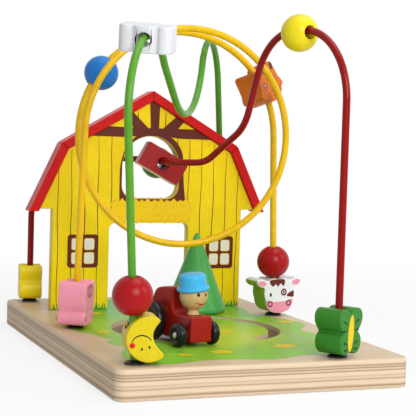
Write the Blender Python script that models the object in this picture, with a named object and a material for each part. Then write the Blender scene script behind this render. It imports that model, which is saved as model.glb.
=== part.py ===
"""Wooden bead frame: slotted board, barn front, cone tree, small tractor, three bent wires and their beads.

Metres, +Z up. The origin is the middle of the board's underside, X runs along its width and +Y to the barn.
"""
import math

import bmesh
import bpy
from mathutils import Matrix, Vector

# Clearances
GAP = 0.0003
RUNNING_GAP = 0.0004

# Board and its ring slot
BOARD_WIDTH = 0.200
BOARD_DEPTH = 0.310
BOARD_THICKNESS = 0.020
BOARD_CORNER = 0.007
BOARD_EDGE = 0.0015
SLOT_X = 0.002
SLOT_Y = -0.018
SLOT_RADIUS = 0.057
SLOT_WIDTH = 0.009
SLOT_RIGHT_END = math.radians(-60)
SLOT_LEFT_END = math.radians(238)
CHANNEL_WIDTH = 0.018
CHANNEL_DEPTH = 0.0045
FOOT_HOLE_DEPTH = 0.012

# Barn front, heights measured from the board's top
BARN_Y = 0.087
BARN_THICKNESS = 0.009
BARN_LEG_X = 0.079
BARN_SHOULDER_HEIGHT = 0.0793
DOOR_HALF_WIDTH = 0.0333
DOOR_HEIGHT = 0.0683
DOOR_CORNER = 0.005
WINDOW_HALF_WIDTH = 0.0235
WINDOW_BOTTOM = 0.088
WINDOW_HEIGHT = 0.0495
WINDOW_CORNER = 0.010

# Gambrel roof, outer corners measured from the board's top
ROOF_EAVE_X = 0.0985
ROOF_EAVE_HEIGHT = 0.0775
ROOF_KNEE_X = 0.0735
ROOF_KNEE_HEIGHT = 0.131
ROOF_PEAK_HEIGHT = 0.1735
ROOF_THICKNESS = 0.007
ROOF_OVERHANG = 0.003

# Screws driven up through the board
SCREW_RADIUS = 0.0018
SCREW_HEAD_RADIUS = 0.0036
SCREW_HEAD_HEIGHT = 0.0025
SCREW_GRIP = 0.014
SCREW_RECESS = 0.002
BARN_SCREW_X = 0.056

# Cone tree
TREE_X = 0.0318
TREE_Y = 0.0625
TREE_RADIUS = 0.0240
TREE_HEIGHT = 0.0622
TREE_EDGE = 0.003
TREE_TIP = 0.002

# Wires and their ferrules
WIRE_RADIUS = 0.0025
WIRE_STEP = 0.008
FERRULE_RADIUS = 0.0066
FERRULE_HEIGHT = 0.0025
RED_FRONT_FOOT = (0.0528, -0.1430)
RED_BACK_FOOT = (-0.0833, 0.1411)
GREEN_FRONT_FOOT = (-0.0835, -0.1385)
GREEN_BACK_FOOT = (0.0871, 0.1375)
YELLOW_LEFT_FOOT = (-0.0824, 0.0031)
YELLOW_RIGHT_FOOT = (0.0871, 0.0347)

# Yellow wire: one full turn more than an arch
LOOP_RADIUS = 0.0785
LOOP_DROP = 0.0806
LOOP_HEIGHT = 0.1389
LOOP_BACK_HEIGHT = 0.1383
LOOP_FRONT_X = 0.0
LOOP_BACK_X = 0.004

# Red wire: heights above the board's top or the window's sill, and distances along its plan line
RED_TOP_HEIGHT = 0.2122
RED_TOP_LENGTH = 0.0890
RED_BEND_HEIGHT = 0.1466
RED_BEND_DISTANCE = 0.1149
RED_ABOVE_SILL = 0.0300
RED_AIM = (0.007, 0.087)
RED_DIP = (0.0190, 0.0160)
RED_TURN = (0.0002, 0.0455)
RED_STRETCH_ANGLE = math.radians(8.5)
RED_CORNERS = (0.0480, 0.0420, 0.0336, 0.030, 0.018, 0.020, 0.0495)

# Green wire: two humps and a valley
HUMP_RADIUS = 0.0510
HUMP_START = (-0.0917, -0.1385)
HUMP_HEIGHT = 0.1520
HUMP_END_ANGLE = math.radians(43)
VALLEY_DISTANCE = 0.1913
VALLEY_HEIGHT = 0.1190
REAR_HUMP_HEIGHT = 0.2141
REAR_HUMP_FRONT = 0.2156
REAR_HUMP_BACK = 0.2641
GREEN_CORNERS = (0.059, 0.0305, 0.0430)

# Beads; their outlines are lists in OUTLINE_UNIT
OUTLINE_UNIT = 0.001
BALL_RADIUS = 0.0127
BORE_RADIUS = 0.0045
BEAD_THICKNESS = 0.020
SLIM_BEAD = 0.018
CLOUD_THICKNESS = 0.0172
BEAD_EDGE = 0.0010
MOON_RADIUS = 0.0142
MOON_OFFSET = 0.0080
BLOCK_WIDTH = 0.036
BLOCK_LENGTH = 0.017
BLOCK_ROLL = math.radians(29)
BEAD_HANG = 0.0016
BLUE_ANGLE = math.radians(144)
CAT_ANGLE = math.radians(30.2)
CLOUD_ANGLE = math.radians(100)
CLOUD_TILT = math.radians(-4)
BALL_ON_ARCH = 0.0527
BLOCK_ALONG_STRETCH = 0.0295

# Tractor, in its own frame: +X forward, origin on the pin's axis
TRACTOR_HEADING = math.radians(-78)
BODY_HALF_WIDTH = 0.0085
BODY_CLEARANCE = 0.0032
BODY_FRONT = 0.0275
BODY_REAR = 0.024
HOOD_TOP = 0.0205
CAB_TOP = 0.0375
CAB_FRONT = 0.003
FRONT_AXLE_X = 0.021
REAR_AXLE_X = -0.012
AXLE_PLAY = 0.0022
FRONT_WHEEL_RADIUS = 0.008
FRONT_WHEEL_WIDTH = 0.006
REAR_WHEEL_RADIUS = 0.0135
REAR_WHEEL_WIDTH = 0.007
AXLE_RADIUS = 0.002
PIN_RADIUS = 0.0030
PIN_HEAD_RADIUS = 0.0050
PIN_HEAD_HEIGHT = 0.0012
PIN_DEPTH_IN_BODY = 0.006
WASHER_RADIUS = 0.0075
WASHER_THICKNESS = 0.0016
DRIVER_X = 0.0165
NECK_RADIUS = 0.0032
NECK_FOOT_RADIUS = 0.0042
NECK_HEIGHT = 0.0040
PEG_RADIUS = 0.0035
PEG_DEPTH = 0.006
HEAD_RADIUS = 0.0094
HEAD_HEIGHT = 0.0126
HAT_SEAT = 0.0160
BRIM_RADIUS = 0.0110
BRIM_HEIGHT = 0.0026
CROWN_RADIUS = 0.0092
CROWN_HEIGHT = 0.0115

FLOOR = BOARD_THICKNESS
SIDES = 24
SMALL_SIDES = 16


def clear_scene():
    for item in list(bpy.data.objects):
        bpy.data.objects.remove(item, do_unlink=True)


def paint(name, colour, roughness=0.35, metallic=0.0):
    material = bpy.data.materials.new(name)
    material.use_nodes = True
    shader = material.node_tree.nodes["Principled BSDF"]
    shader.inputs["Base Color"].default_value = (*colour, 1.0)
    shader.inputs["Roughness"].default_value = roughness
    shader.inputs["Metallic"].default_value = metallic
    material.diffuse_color = (*colour, 1.0)
    return material


# Mesh helpers
def place(item, matrix, parent=None):
    item.parent = parent
    if parent is not None:
        item.matrix_parent_inverse = parent.matrix_world.inverted()
    item.matrix_world = matrix
    return item


def pivot(name, matrix):
    """An empty on a joint's axis, which carries the piece that turns there."""
    empty = bpy.data.objects.new(name, None)
    bpy.context.scene.collection.objects.link(empty)
    empty.matrix_world = matrix
    bpy.context.view_layer.update()
    return empty


def add_object(name, bm, material, smooth=True):
    bmesh.ops.recalc_face_normals(bm, faces=bm.faces)
    mesh = bpy.data.meshes.new(name)
    bm.to_mesh(mesh)
    bm.free()
    if material is not None:
        mesh.materials.append(material)
    if smooth:
        mesh.shade_smooth()
        mesh.set_sharp_from_angle(angle=math.radians(35))
    item = bpy.data.objects.new(name, mesh)
    bpy.context.scene.collection.objects.link(item)
    return item


def as_cutter(item):
    item.hide_render = True
    item.display_type = "WIRE"
    return item


def cut(item, cutter):
    modifier = item.modifiers.new(cutter.name, "BOOLEAN")
    modifier.operation = "DIFFERENCE"
    modifier.solver = "EXACT"
    modifier.object = as_cutter(cutter)


def bevel(item, width, segments=1, angle=math.radians(40)):
    modifier = item.modifiers.new("edge", "BEVEL")
    modifier.width = width
    modifier.segments = segments
    modifier.limit_method = "ANGLE"
    modifier.angle_limit = angle


def arc(x, y, radius, start, end, steps):
    """Points on a circle from one angle to another, both ends included."""
    angles = [start + (end - start) * i / steps for i in range(steps + 1)]
    return [(x + radius * math.cos(a), y + radius * math.sin(a)) for a in angles]


def prism(name, outline, low, high, material, smooth=True):
    """A plan outline raised along local Z between two heights."""
    bm = bmesh.new()
    face = bm.faces.new([bm.verts.new((x, y, low)) for x, y in outline])
    extruded = bmesh.ops.extrude_face_region(bm, geom=[face])
    moved = [v for v in extruded["geom"] if isinstance(v, bmesh.types.BMVert)]
    bmesh.ops.translate(bm, vec=(0, 0, high - low), verts=moved)
    return add_object(name, bm, material, smooth)


def plate(name, outline, thickness, material, smooth=True):
    """An upright outline in X and Z, with its thickness centred on local Y."""
    item = prism(name, outline, -thickness / 2, thickness / 2, material, smooth)
    item.data.transform(Matrix.Rotation(math.radians(90), 4, "X"))
    return item


def turned(name, profile, material, sides=SIDES):
    """A profile of (radius, height) points spun round local Z; a profile that leaves the axis is a ring."""
    bm = bmesh.new()
    ring = [bm.verts.new((r, 0, z)) for r, z in profile]
    closed = profile[0][0] > 0
    edges = [bm.edges.new((ring[i], ring[i + 1])) for i in range(len(ring) - 1)]
    if closed:
        edges.append(bm.edges.new((ring[-1], ring[0])))
    bmesh.ops.spin(bm, geom=ring + edges, cent=(0, 0, 0), axis=(0, 0, 1), angle=2 * math.pi,
                   steps=sides, use_merge=True)
    bmesh.ops.remove_doubles(bm, verts=bm.verts, dist=1e-6)
    return add_object(name, bm, material)


def rod(name, radius, low, high, material, sides=SMALL_SIDES):
    return turned(name, [(0, low), (radius, low), (radius, high), (0, high)], material, sides)


def mirrored(half):
    """A closed outline from its right half, listed from the top middle down to the bottom middle."""
    left = [(-x, y) for x, y in reversed(half) if x > 0]
    return [(x, y) for x, y in half] + left


def frame_at(x, y, z, turn=0.0):
    return Matrix.Translation((x, y, z)) @ Matrix.Rotation(turn, 4, "Z")


# Wire routes
def rounded_route(corners, radii, step=WIRE_STEP):
    """Straight runs between corners, each corner rounded to its own bend radius."""
    points = [Vector(corners[0])]
    for i, radius in enumerate(radii, start=1):
        before, corner, after = (Vector(corners[j]) for j in (i - 1, i, i + 1))
        to_before = (before - corner).normalized()
        to_after = (after - corner).normalized()
        opening = to_before.angle(to_after)
        reach = radius / math.tan(opening / 2)
        centre = corner + (to_before + to_after).normalized() * radius / math.sin(opening / 2)
        start = (corner + to_before * reach - centre) / radius
        turn = math.pi - opening
        count = max(2, math.ceil(radius * turn / step))
        for k in range(count + 1):
            a = turn * k / count
            points.append(centre + radius * (start * math.cos(a) - to_before * math.sin(a)))
    points.append(Vector(corners[-1]))
    return points


def foot_point(foot):
    return Vector((foot[0], foot[1], FLOOR - FOOT_HOLE_DEPTH + GAP))


def tangent_angle(x, height, radius, side):
    """Where a leg from the board at x touches a circle of this radius whose centre is at (0, height)."""
    distance = math.hypot(x, height)
    lean = math.asin(radius / distance)
    upward = math.atan2(height, -x)
    return upward + side * (lean + math.pi / 2)


def loop_centres():
    """Centres of the front loop and of the back loop."""
    front = Vector((LOOP_FRONT_X, YELLOW_LEFT_FOOT[1], FLOOR + LOOP_HEIGHT))
    back = Vector((LOOP_BACK_X, YELLOW_RIGHT_FOOT[1], FLOOR + LOOP_BACK_HEIGHT))
    return front, back


def on_loop(centre, angle, rise=LOOP_RADIUS):
    return centre + Vector((LOOP_RADIUS * math.cos(angle), 0, rise * math.sin(angle)))


def yellow_route():
    front, back = loop_centres()
    start = tangent_angle(YELLOW_LEFT_FOOT[0] - front.x, LOOP_HEIGHT, LOOP_RADIUS, 1)
    finish = tangent_angle(YELLOW_RIGHT_FOOT[0] - back.x, LOOP_BACK_HEIGHT, LOOP_RADIUS, -1)
    steps = math.ceil(math.pi * LOOP_RADIUS / WIRE_STEP)
    points = [leg_start(YELLOW_LEFT_FOOT, on_loop(front, start))]
    points += [on_loop(front, start * (1 - i / steps)) for i in range(steps + 1)]
    for i in range(1, steps):
        share = i / steps
        blend = share * share * (3 - 2 * share)
        points.append(on_loop(front.lerp(back, blend), -math.pi * share, LOOP_DROP))
    points += [on_loop(back, math.pi + (finish - math.pi) * i / steps) for i in range(steps + 1)]
    points.append(leg_start(YELLOW_RIGHT_FOOT, points[-1]))
    return points


def leg_start(foot, top):
    """The wire's end in the board, on the straight line from the leg's top through its foot."""
    surface = Vector((foot[0], foot[1], FLOOR))
    drop = (surface - top).normalized()
    depth = FOOT_HOLE_DEPTH - GAP
    return surface + drop * depth / -drop.z


def red_line():
    front = Vector(RED_FRONT_FOOT)
    return front, (Vector(RED_AIM) - front).normalized()


def red_level():
    """Height of the low stretch, which runs through the barn's window."""
    return FLOOR + WINDOW_BOTTOM + RED_ABOVE_SILL


def red_route():
    front, along = red_line()
    back = RED_BACK_FOOT
    level = red_level()
    run = (back[1] - RED_TURN[1]) / math.cos(RED_STRETCH_ANGLE)
    turn_back = (RED_TURN[0] + run * math.sin(RED_STRETCH_ANGLE), back[1], level)
    top = FLOOR + RED_TOP_HEIGHT
    over = front + along * RED_TOP_LENGTH
    bend = front + along * RED_BEND_DISTANCE
    corners = [foot_point(RED_FRONT_FOOT), (*front, top), (*over, top), (*bend, FLOOR + RED_BEND_HEIGHT),
               (*RED_DIP, level + 0.0015), (*RED_TURN, level), turn_back, (*back, level),
               foot_point(back)]
    return rounded_route(corners, RED_CORNERS)


def green_line():
    start = Vector(HUMP_START)
    return start, (Vector(GREEN_BACK_FOOT) - start).normalized()


def hump_frame():
    """Centre of the front hump, its heading in plan and the height of its centre."""
    start, along = green_line()
    return start + along * HUMP_RADIUS, along, FLOOR + HUMP_HEIGHT


def on_hump(angle):
    centre, along, height = hump_frame()
    flat = centre + along * HUMP_RADIUS * math.cos(angle)
    return Vector((flat.x, flat.y, height + HUMP_RADIUS * math.sin(angle)))


def green_route():
    steps = math.ceil(HUMP_RADIUS * (math.pi - HUMP_END_ANGLE) / WIRE_STEP) + 3
    hump = [on_hump(math.pi + (HUMP_END_ANGLE - math.pi) * i / steps) for i in range(steps + 1)]
    start, along = green_line()
    stations = ((VALLEY_DISTANCE, VALLEY_HEIGHT), (REAR_HUMP_FRONT, REAR_HUMP_HEIGHT),
                (REAR_HUMP_BACK, REAR_HUMP_HEIGHT))
    corners = [(*(start + along * distance), FLOOR + height) for distance, height in stations]
    corners = [hump[-1]] + corners + [foot_point(GREEN_BACK_FOOT)]
    return [leg_start(GREEN_FRONT_FOOT, hump[0])] + hump + rounded_route(corners, GREEN_CORNERS)[1:]


def wire(name, points, material):
    curve = bpy.data.curves.new(name, "CURVE")
    curve.dimensions = "3D"
    curve.bevel_depth = WIRE_RADIUS
    curve.bevel_resolution = 3
    curve.resolution_u = 1
    curve.render_resolution_u = 0
    curve.use_fill_caps = True
    curve.materials.append(material)
    spline = curve.splines.new("POLY")
    spline.points.add(len(points) - 1)
    for point, place_at in zip(spline.points, points):
        point.co = (*place_at, 1.0)
    item = bpy.data.objects.new(name, curve)
    bpy.context.scene.collection.objects.link(item)
    return item


# Board, barn and tree
def rounded_rectangle(half_x, half_y, corner, steps=5):
    quarter = math.pi / 2
    outline = []
    for i, (sx, sy) in enumerate(((1, 1), (-1, 1), (-1, -1), (1, -1))):
        outline += arc(sx * (half_x - corner), sy * (half_y - corner), corner,
                       i * quarter, (i + 1) * quarter, steps)
    return outline


def ring_track(radius, width, steps=48):
    """The slot's plan outline: a broad arc with a round end on each side of the front gap."""
    start, end, half = SLOT_RIGHT_END, SLOT_LEFT_END, width / 2
    outline = arc(SLOT_X, SLOT_Y, radius + half, start, end, steps)
    x, y = SLOT_X + radius * math.cos(end), SLOT_Y + radius * math.sin(end)
    outline += arc(x, y, half, end, end + math.pi, 6)[1:-1]
    outline += arc(SLOT_X, SLOT_Y, radius - half, end, start, steps)
    x, y = SLOT_X + radius * math.cos(start), SLOT_Y + radius * math.sin(start)
    outline += arc(x, y, half, start - math.pi, start, 6)[1:-1]
    return outline


def lean_of(route, low_end=0):
    """The tilt of a wire's leg, for the hole and ferrule that it stands in."""
    first, second = (route[0], route[1]) if low_end == 0 else (route[-1], route[-2])
    return (second - first).to_track_quat("Z", "Y").to_matrix().to_4x4()


def make_board(wood, routes):
    board = prism("base_board", rounded_rectangle(BOARD_WIDTH / 2, BOARD_DEPTH / 2, BOARD_CORNER),
                  0, BOARD_THICKNESS, wood)
    bevel(board, BOARD_EDGE, 2)
    cut(board, prism("slot_cutter", ring_track(SLOT_RADIUS, SLOT_WIDTH), -0.001,
                     BOARD_THICKNESS + 0.001, None))
    cut(board, prism("channel_cutter", ring_track(SLOT_RADIUS, CHANNEL_WIDTH), -0.001, CHANNEL_DEPTH, None))
    for name, route, end in routes:
        hole = rod(f"foot_hole_{name}", WIRE_RADIUS + GAP, 0, 2 * FOOT_HOLE_DEPTH, None)
        point = route[0] if end == 0 else route[-1]
        down = Matrix.Translation((point.x, point.y, point.z - GAP))
        place(hole, down @ lean_of(route, end))
        cut(board, hole)
    for name, x, y in screw_places():
        place(screw_hole(f"hole_{name}"), frame_at(x, y, 0))
        cut(board, bpy.data.objects[f"hole_{name}"])
    return board


def screw_places():
    barn_y = BARN_Y + BARN_THICKNESS / 2
    return (("barn_screw_left", -BARN_SCREW_X, barn_y), ("barn_screw_right", BARN_SCREW_X, barn_y),
            ("tree_screw", TREE_X, TREE_Y))


def screw_hole(name):
    """Clearance hole with a countersink that opens below the board."""
    wide, narrow = SCREW_HEAD_RADIUS + GAP, SCREW_RADIUS + GAP
    low, shoulder = SCREW_RECESS + 0.0005, SCREW_RECESS + SCREW_HEAD_HEIGHT
    return turned(name, [(0, -0.001), (wide, -0.001), (wide, low), (narrow, shoulder),
                         (narrow, BOARD_THICKNESS + 0.001), (0, BOARD_THICKNESS + 0.001)], None, SMALL_SIDES)


def make_screws(steel):
    top = BOARD_THICKNESS + SCREW_GRIP
    shoulder = SCREW_RECESS + SCREW_HEAD_HEIGHT
    for name, x, y in screw_places():
        screw = turned(name, [(0, SCREW_RECESS + 0.0002), (SCREW_HEAD_RADIUS, SCREW_RECESS + 0.0002),
                              (SCREW_HEAD_RADIUS, SCREW_RECESS + 0.0005), (SCREW_RADIUS, shoulder),
                              (SCREW_RADIUS, top - 0.002), (0.0004, top), (0, top)], steel, SMALL_SIDES)
        place(screw, frame_at(x, y, 0))


def pilot_hole(name, x, y):
    hole = rod(name, SCREW_RADIUS + GAP, BOARD_THICKNESS - 0.001, BOARD_THICKNESS + SCREW_GRIP + GAP, None)
    return place(hole, frame_at(x, y, 0))


def offset_line(a, b, distance):
    """The line through a and b moved towards the barn's middle by a distance, as a point and a direction."""
    direction = (Vector(b) - Vector(a)).normalized()
    normal = Vector((direction.y, -direction.x))
    return Vector(a) + normal * distance, direction


def meet(line_a, line_b):
    (p, d), (q, e) = line_a, line_b
    t = ((q.x - p.x) * e.y - (q.y - p.y) * e.x) / (d.x * e.y - d.y * e.x)
    return p + d * t


def roof_lines(distance):
    """Eave, knee and peak corners of the left roof slopes, moved inward by a distance."""
    eave = (-ROOF_EAVE_X, FLOOR + ROOF_EAVE_HEIGHT)
    knee = (-ROOF_KNEE_X, FLOOR + ROOF_KNEE_HEIGHT)
    peak = (0.0, FLOOR + ROOF_PEAK_HEIGHT)
    lower = offset_line(eave, knee, distance)
    upper = offset_line(knee, peak, distance)
    level = (Vector(eave), Vector((1, 0)))
    middle = (Vector((0, 0)), Vector((0, 1)))
    return meet(lower, level), meet(lower, upper), meet(upper, middle)


def make_barn(plank_paint):
    floor = FLOOR + GAP
    shoulder = FLOOR + BARN_SHOULDER_HEIGHT
    eave, knee, peak = roof_lines(ROOF_THICKNESS + GAP)
    slope = (knee - eave).normalized()
    under_roof = eave + slope * (shoulder - eave.y) / slope.y
    door_top = FLOOR + DOOR_HEIGHT
    corner = arc(DOOR_HALF_WIDTH - DOOR_CORNER, door_top - DOOR_CORNER, DOOR_CORNER, math.pi / 2, 0, 4)
    right = [(-knee.x, knee.y), (-under_roof.x, shoulder), (BARN_LEG_X, shoulder), (BARN_LEG_X, floor),
             (DOOR_HALF_WIDTH, floor)] + list(reversed(corner))
    outline = mirrored([(0.0, peak.y)] + right)
    barn = plate("barn_front", outline, BARN_THICKNESS, plank_paint)
    place(barn, Matrix.Translation((0, BARN_Y + BARN_THICKNESS / 2, 0)))
    bottom = FLOOR + WINDOW_BOTTOM
    top = bottom + WINDOW_HEIGHT - WINDOW_HALF_WIDTH
    inset = WINDOW_HALF_WIDTH - WINDOW_CORNER
    window = arc(0, top, WINDOW_HALF_WIDTH, 0, math.pi, 16)
    window += arc(-inset, bottom + WINDOW_CORNER, WINDOW_CORNER, math.pi, 1.5 * math.pi, 5)
    window += arc(inset, bottom + WINDOW_CORNER, WINDOW_CORNER, 1.5 * math.pi, 2 * math.pi, 5)
    cutter = plate("window_cutter", window, 3 * BARN_THICKNESS, None)
    place(cutter, barn.matrix_world.copy())
    cut(barn, cutter)
    for name, x, y in screw_places()[:2]:
        cut(barn, pilot_hole(f"pilot_{name}", x, y))
    return barn


def make_roof(red_paint):
    outer = roof_lines(0.0)
    inner = roof_lines(ROOF_THICKNESS)
    mitre = GAP / 2
    depth = BARN_THICKNESS + 2 * ROOF_OVERHANG
    for level, i in (("lower", 0), ("upper", 1)):
        low_out, high_out, low_in, high_in = outer[i], outer[i + 1], inner[i], inner[i + 1]
        run = (high_out - low_out).normalized() * mitre
        start = run if i == 1 else run * 0
        corners = [low_out + start, high_out - run, high_in - run, low_in + start]
        for side, sign in (("left", 1), ("right", -1)):
            board = plate(f"roof_{level}_{side}", [(sign * c.x, c.y) for c in corners], depth, red_paint)
            bevel(board, 0.0004)
            place(board, Matrix.Translation((0, BARN_Y + BARN_THICKNESS / 2, 0)))


def make_tree(green_paint):
    profile = [(0, 0), (TREE_RADIUS - TREE_EDGE, 0)]
    profile += arc(TREE_RADIUS - TREE_EDGE, TREE_EDGE, TREE_EDGE, -math.pi / 2, math.radians(20), 4)[1:]
    profile += [(TREE_TIP, TREE_HEIGHT - 0.7 * TREE_TIP), (0.5 * TREE_TIP, TREE_HEIGHT - 0.1 * TREE_TIP)]
    profile += [(0, TREE_HEIGHT)]
    tree = turned("tree_cone", profile, green_paint, 32)
    place(tree, frame_at(TREE_X, TREE_Y, FLOOR + GAP))
    cut(tree, pilot_hole("pilot_tree_screw", TREE_X, TREE_Y))


def make_ferrule(name, route, end, rubber):
    """A domed black cap round the wire where it enters the board."""
    dome = [(FERRULE_RADIUS * math.cos(a), FERRULE_HEIGHT * math.sin(a))
            for a in (math.radians(i * 65 / 4) for i in range(5))]
    cap = turned(name, [(0, 0)] + dome + [(0, FERRULE_HEIGHT * 0.95)], rubber, SMALL_SIDES)
    first, second = (route[0], route[1]) if end == 0 else (route[-1], route[-2])
    foot = first.lerp(second, (FLOOR + GAP - first.z) / (second.z - first.z))
    seat = Matrix.Translation(foot)
    place(cap, seat)
    bore = rod(f"bore_{name}", WIRE_RADIUS + GAP, -0.006, 0.006, None)
    cut(cap, place(bore, seat @ lean_of(route, end)))


# Beads
def ball(name, matrix, material, parent=None):
    half = math.sqrt(BALL_RADIUS ** 2 - BORE_RADIUS ** 2)
    limit = math.asin(half / BALL_RADIUS)
    profile = arc(0, 0, BALL_RADIUS, -limit, limit, 8)
    return place(turned(name, profile, material), matrix, parent)


def shaped_bead(name, outline, matrix, material, parent=None, thickness=BEAD_THICKNESS):
    """A cut-out outline of even thickness, bored through along its own Z for the wire."""
    bead = plate(name, outline, thickness, material)
    bevel(bead, BEAD_EDGE)
    place(bead, matrix, parent)
    length = max(abs(y) for x, y in outline) + 0.005
    bore = rod(f"bore_{name}", BORE_RADIUS, -length, length, None)
    place(bore, matrix)
    cut(bead, bore)
    return bead


def moon_outline():
    """A full round back with two horns and a bite between them."""
    outer = arc(MOON_OFFSET, 0, MOON_RADIUS, math.radians(68), math.radians(308), 20)
    horns = [(17.5, -10.4), (16.6, -9.2), (13.4, -5.6), (11.4, -2), (10.6, 1.6), (11, 4.4), (12.4, 7.2),
             (15, 10.2), (15.4, 11.6)]
    return outer + [(x * OUTLINE_UNIT, y * OUTLINE_UNIT) for x, y in horns]


BUTTERFLY = ((0, 11.6), (2.5, 13.8), (7, 15.2), (11.5, 14.5), (14.2, 11), (14, 6.4), (11.6, 2.4), (9.2, -0.4),
             (11.4, -2.5), (13, -6.4), (12, -11.3), (8.6, -14.5), (4.4, -15), (1.6, -13.4), (0, -12.2))
PIG = ((0, 12), (3.5, 13), (7, 15.6), (11, 15.2), (12.9, 11.4), (13.4, 5), (13, -1), (11.6, -5), (11.2, -6.6),
       (12.8, -8.4), (13.4, -11.8), (12.2, -15), (9, -16.2), (0, -16.2))
COW = ((0, 12.8), (6, 13.2), (10, 11.8), (15, 13.4), (19, 12.6), (19.8, 10.1), (17.4, 7.4), (13.4, 5.8), (13.6, 1.3),
       (12.4, -4), (11.6, -8), (8.6, -12), (4.2, -13.9), (0, -14.4))
CAT = ((0, 10.4), (5, 10.8), (7.2, 14.2), (10.5, 15.8), (13.4, 14.4), (13.8, 10.6), (15, 6), (15.8, 1.6), (18, -0.6),
       (18.2, -5), (14.6, -6.4), (11, -9.4), (6, -11.8), (0, -12.6))
CHICK = ((0, 10.6), (3.4, 12.6), (7.4, 13.8), (10.8, 12.2), (11.8, 8.4), (10.6, 4.6), (9.4, 1), (11.2, -1.6),
         (12.4, -5.6), (11.8, -10), (8.8, -13.2), (4.4, -14), (0, -14))
CLOUD = ((0, 12), (5, 11.4), (8, 9), (10.6, 10.6), (14.4, 10.2), (17.2, 7.4), (17.8, 3.4), (16.8, 0), (17.8, -3.6),
         (17, -8), (13.6, -10.4), (10, -10), (7.8, -8.6), (4.6, -11.2), (0, -12.2))


def from_half(half):
    return mirrored([(x * OUTLINE_UNIT, y * OUTLINE_UNIT) for x, y in half])


def standing(route, end, height, turn):
    """A bead's place on a wire's leg: on the wire at this height, leaning with it, turned about it."""
    first, second = (route[0], route[1]) if end == 0 else (route[-1], route[-2])
    point = first.lerp(second, (height - first.z) / (second.z - first.z))
    return Matrix.Translation(point) @ lean_of(route, end) @ upright(route, end, turn)


def upright(route, end, turn):
    """A turn about the wire that brings local -Y to the asked heading in plan."""
    lean = lean_of(route, end).to_3x3()
    front = lean @ Vector((0, -1, 0))
    now = math.atan2(front.x, -front.y)
    return Matrix.Rotation(turn - now, 4, "Z")


def on_arc(centre, axis_turn, radius, angle, roll):
    """A bead's place on a circular stretch; its own Z follows the wire."""
    plane = Matrix.Translation(centre) @ Matrix.Rotation(axis_turn, 4, "Z")
    spot = Matrix.Translation((radius * math.cos(angle), 0, radius * math.sin(angle)))
    tilt = Matrix.Rotation(-angle, 4, "Y")
    return plane @ spot @ tilt @ Matrix.Rotation(roll, 4, "Z")


def make_beads(paints, red, green, yellow):
    rim = FERRULE_HEIGHT * math.sqrt(1 - (BORE_RADIUS / FERRULE_RADIUS) ** 2)
    lift = FLOOR + 2 * GAP + rim

    def stand(name, outline, route, end, low, turn, material, thickness=BEAD_THICKNESS):
        matrix = standing(route, end, lift - low, math.radians(turn))
        shaped_bead(name, outline, matrix, material, None, thickness)

    def top_at_bore(outline, sign=1):
        """How far an outline reaches beside its bore, above or below its middle."""
        return max(sign * y for x, y in outline if -BORE_RADIUS <= x <= 1.4 * BORE_RADIUS)

    butterfly, pig, chick, cow = (from_half(half) for half in (BUTTERFLY, PIG, CHICK, COW))
    rest = math.sqrt(BALL_RADIUS ** 2 - BORE_RADIUS ** 2)
    moon_reach = math.sqrt(MOON_RADIUS ** 2 - (MOON_OFFSET - BORE_RADIUS) ** 2)
    stand("bead_moon", moon_outline(), green, 0, -moon_reach, -9, paints["yellow"])
    stand("bead_butterfly", butterfly, red, 0, -top_at_bore(butterfly, -1), 31, paints["green"])
    stand("bead_pig", pig, yellow, 0, -top_at_bore(pig, -1), 59, paints["pink"])
    stand("bead_chick", chick, red, 1, -top_at_bore(chick, -1), -99, paints["yellow"], SLIM_BEAD)
    cow_low = top_at_bore(cow, -1)
    stand("bead_cow", cow, yellow, 1, -cow_low, 5, paints["white"])

    moon_top = lift + 2 * moon_reach + GAP
    ball("ball_red_front", standing(green, 0, moon_top + rest, 0), paints["red"])
    cow_top = lift + cow_low + top_at_bore(cow) + GAP
    ball("ball_red_right", standing(yellow, 1, cow_top + rest, 0), paints["red"])

    loop = loop_centres()[1]
    blue_pivot = pivot("blue_pivot", Matrix.Translation(loop))
    ball("ball_blue", on_arc(loop, 0, LOOP_RADIUS - BEAD_HANG, BLUE_ANGLE, 0), paints["blue"], blue_pivot)
    cat_pivot = pivot("cat_pivot", Matrix.Translation(loop))
    cat_place = on_arc(loop, 0, LOOP_RADIUS - BEAD_HANG, CAT_ANGLE, math.radians(36))
    shaped_bead("bead_cat", from_half(CAT), cat_place, paints["orange"], cat_pivot)

    centre, along, height = hump_frame()
    hump = (centre.x, centre.y, height)
    cloud_pivot = pivot("cloud_pivot", Matrix.Translation(hump))
    heading = math.atan2(along.y, along.x)
    cloud_place = on_arc(hump, heading, HUMP_RADIUS - BEAD_HANG, CLOUD_ANGLE, math.radians(90))
    cloud_place = cloud_place @ Matrix.Rotation(CLOUD_TILT, 4, "Z")
    shaped_bead("bead_cloud", from_half(CLOUD), cloud_place, paints["white"], cloud_pivot, CLOUD_THICKNESS)

    front, line = red_line()
    spot = front + line * BALL_ON_ARCH
    level = Matrix.Translation((spot.x, spot.y, FLOOR + RED_TOP_HEIGHT - BEAD_HANG))
    ball("ball_yellow", level @ along_track(line), paints["yellow"])
    stretch = Vector((math.sin(RED_STRETCH_ANGLE), math.cos(RED_STRETCH_ANGLE)))
    block_at = Vector(RED_TURN) + stretch * BLOCK_ALONG_STRETCH
    hang = red_level() - BEAD_HANG
    block_place = Matrix.Translation((*block_at, hang)) @ along_track(stretch)
    outline = rounded_rectangle(BLOCK_WIDTH / 2, BLOCK_LENGTH / 2, 0.002, 2)
    shaped_bead("bead_block", outline, block_place @ Matrix.Rotation(BLOCK_ROLL, 4, "Z"), paints["brick"])
    ball_at = block_at + stretch * (BLOCK_LENGTH / 2 + rest + GAP)
    ball("ball_green", Matrix.Translation((*ball_at, hang)) @ along_track(stretch), paints["green"])


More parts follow.
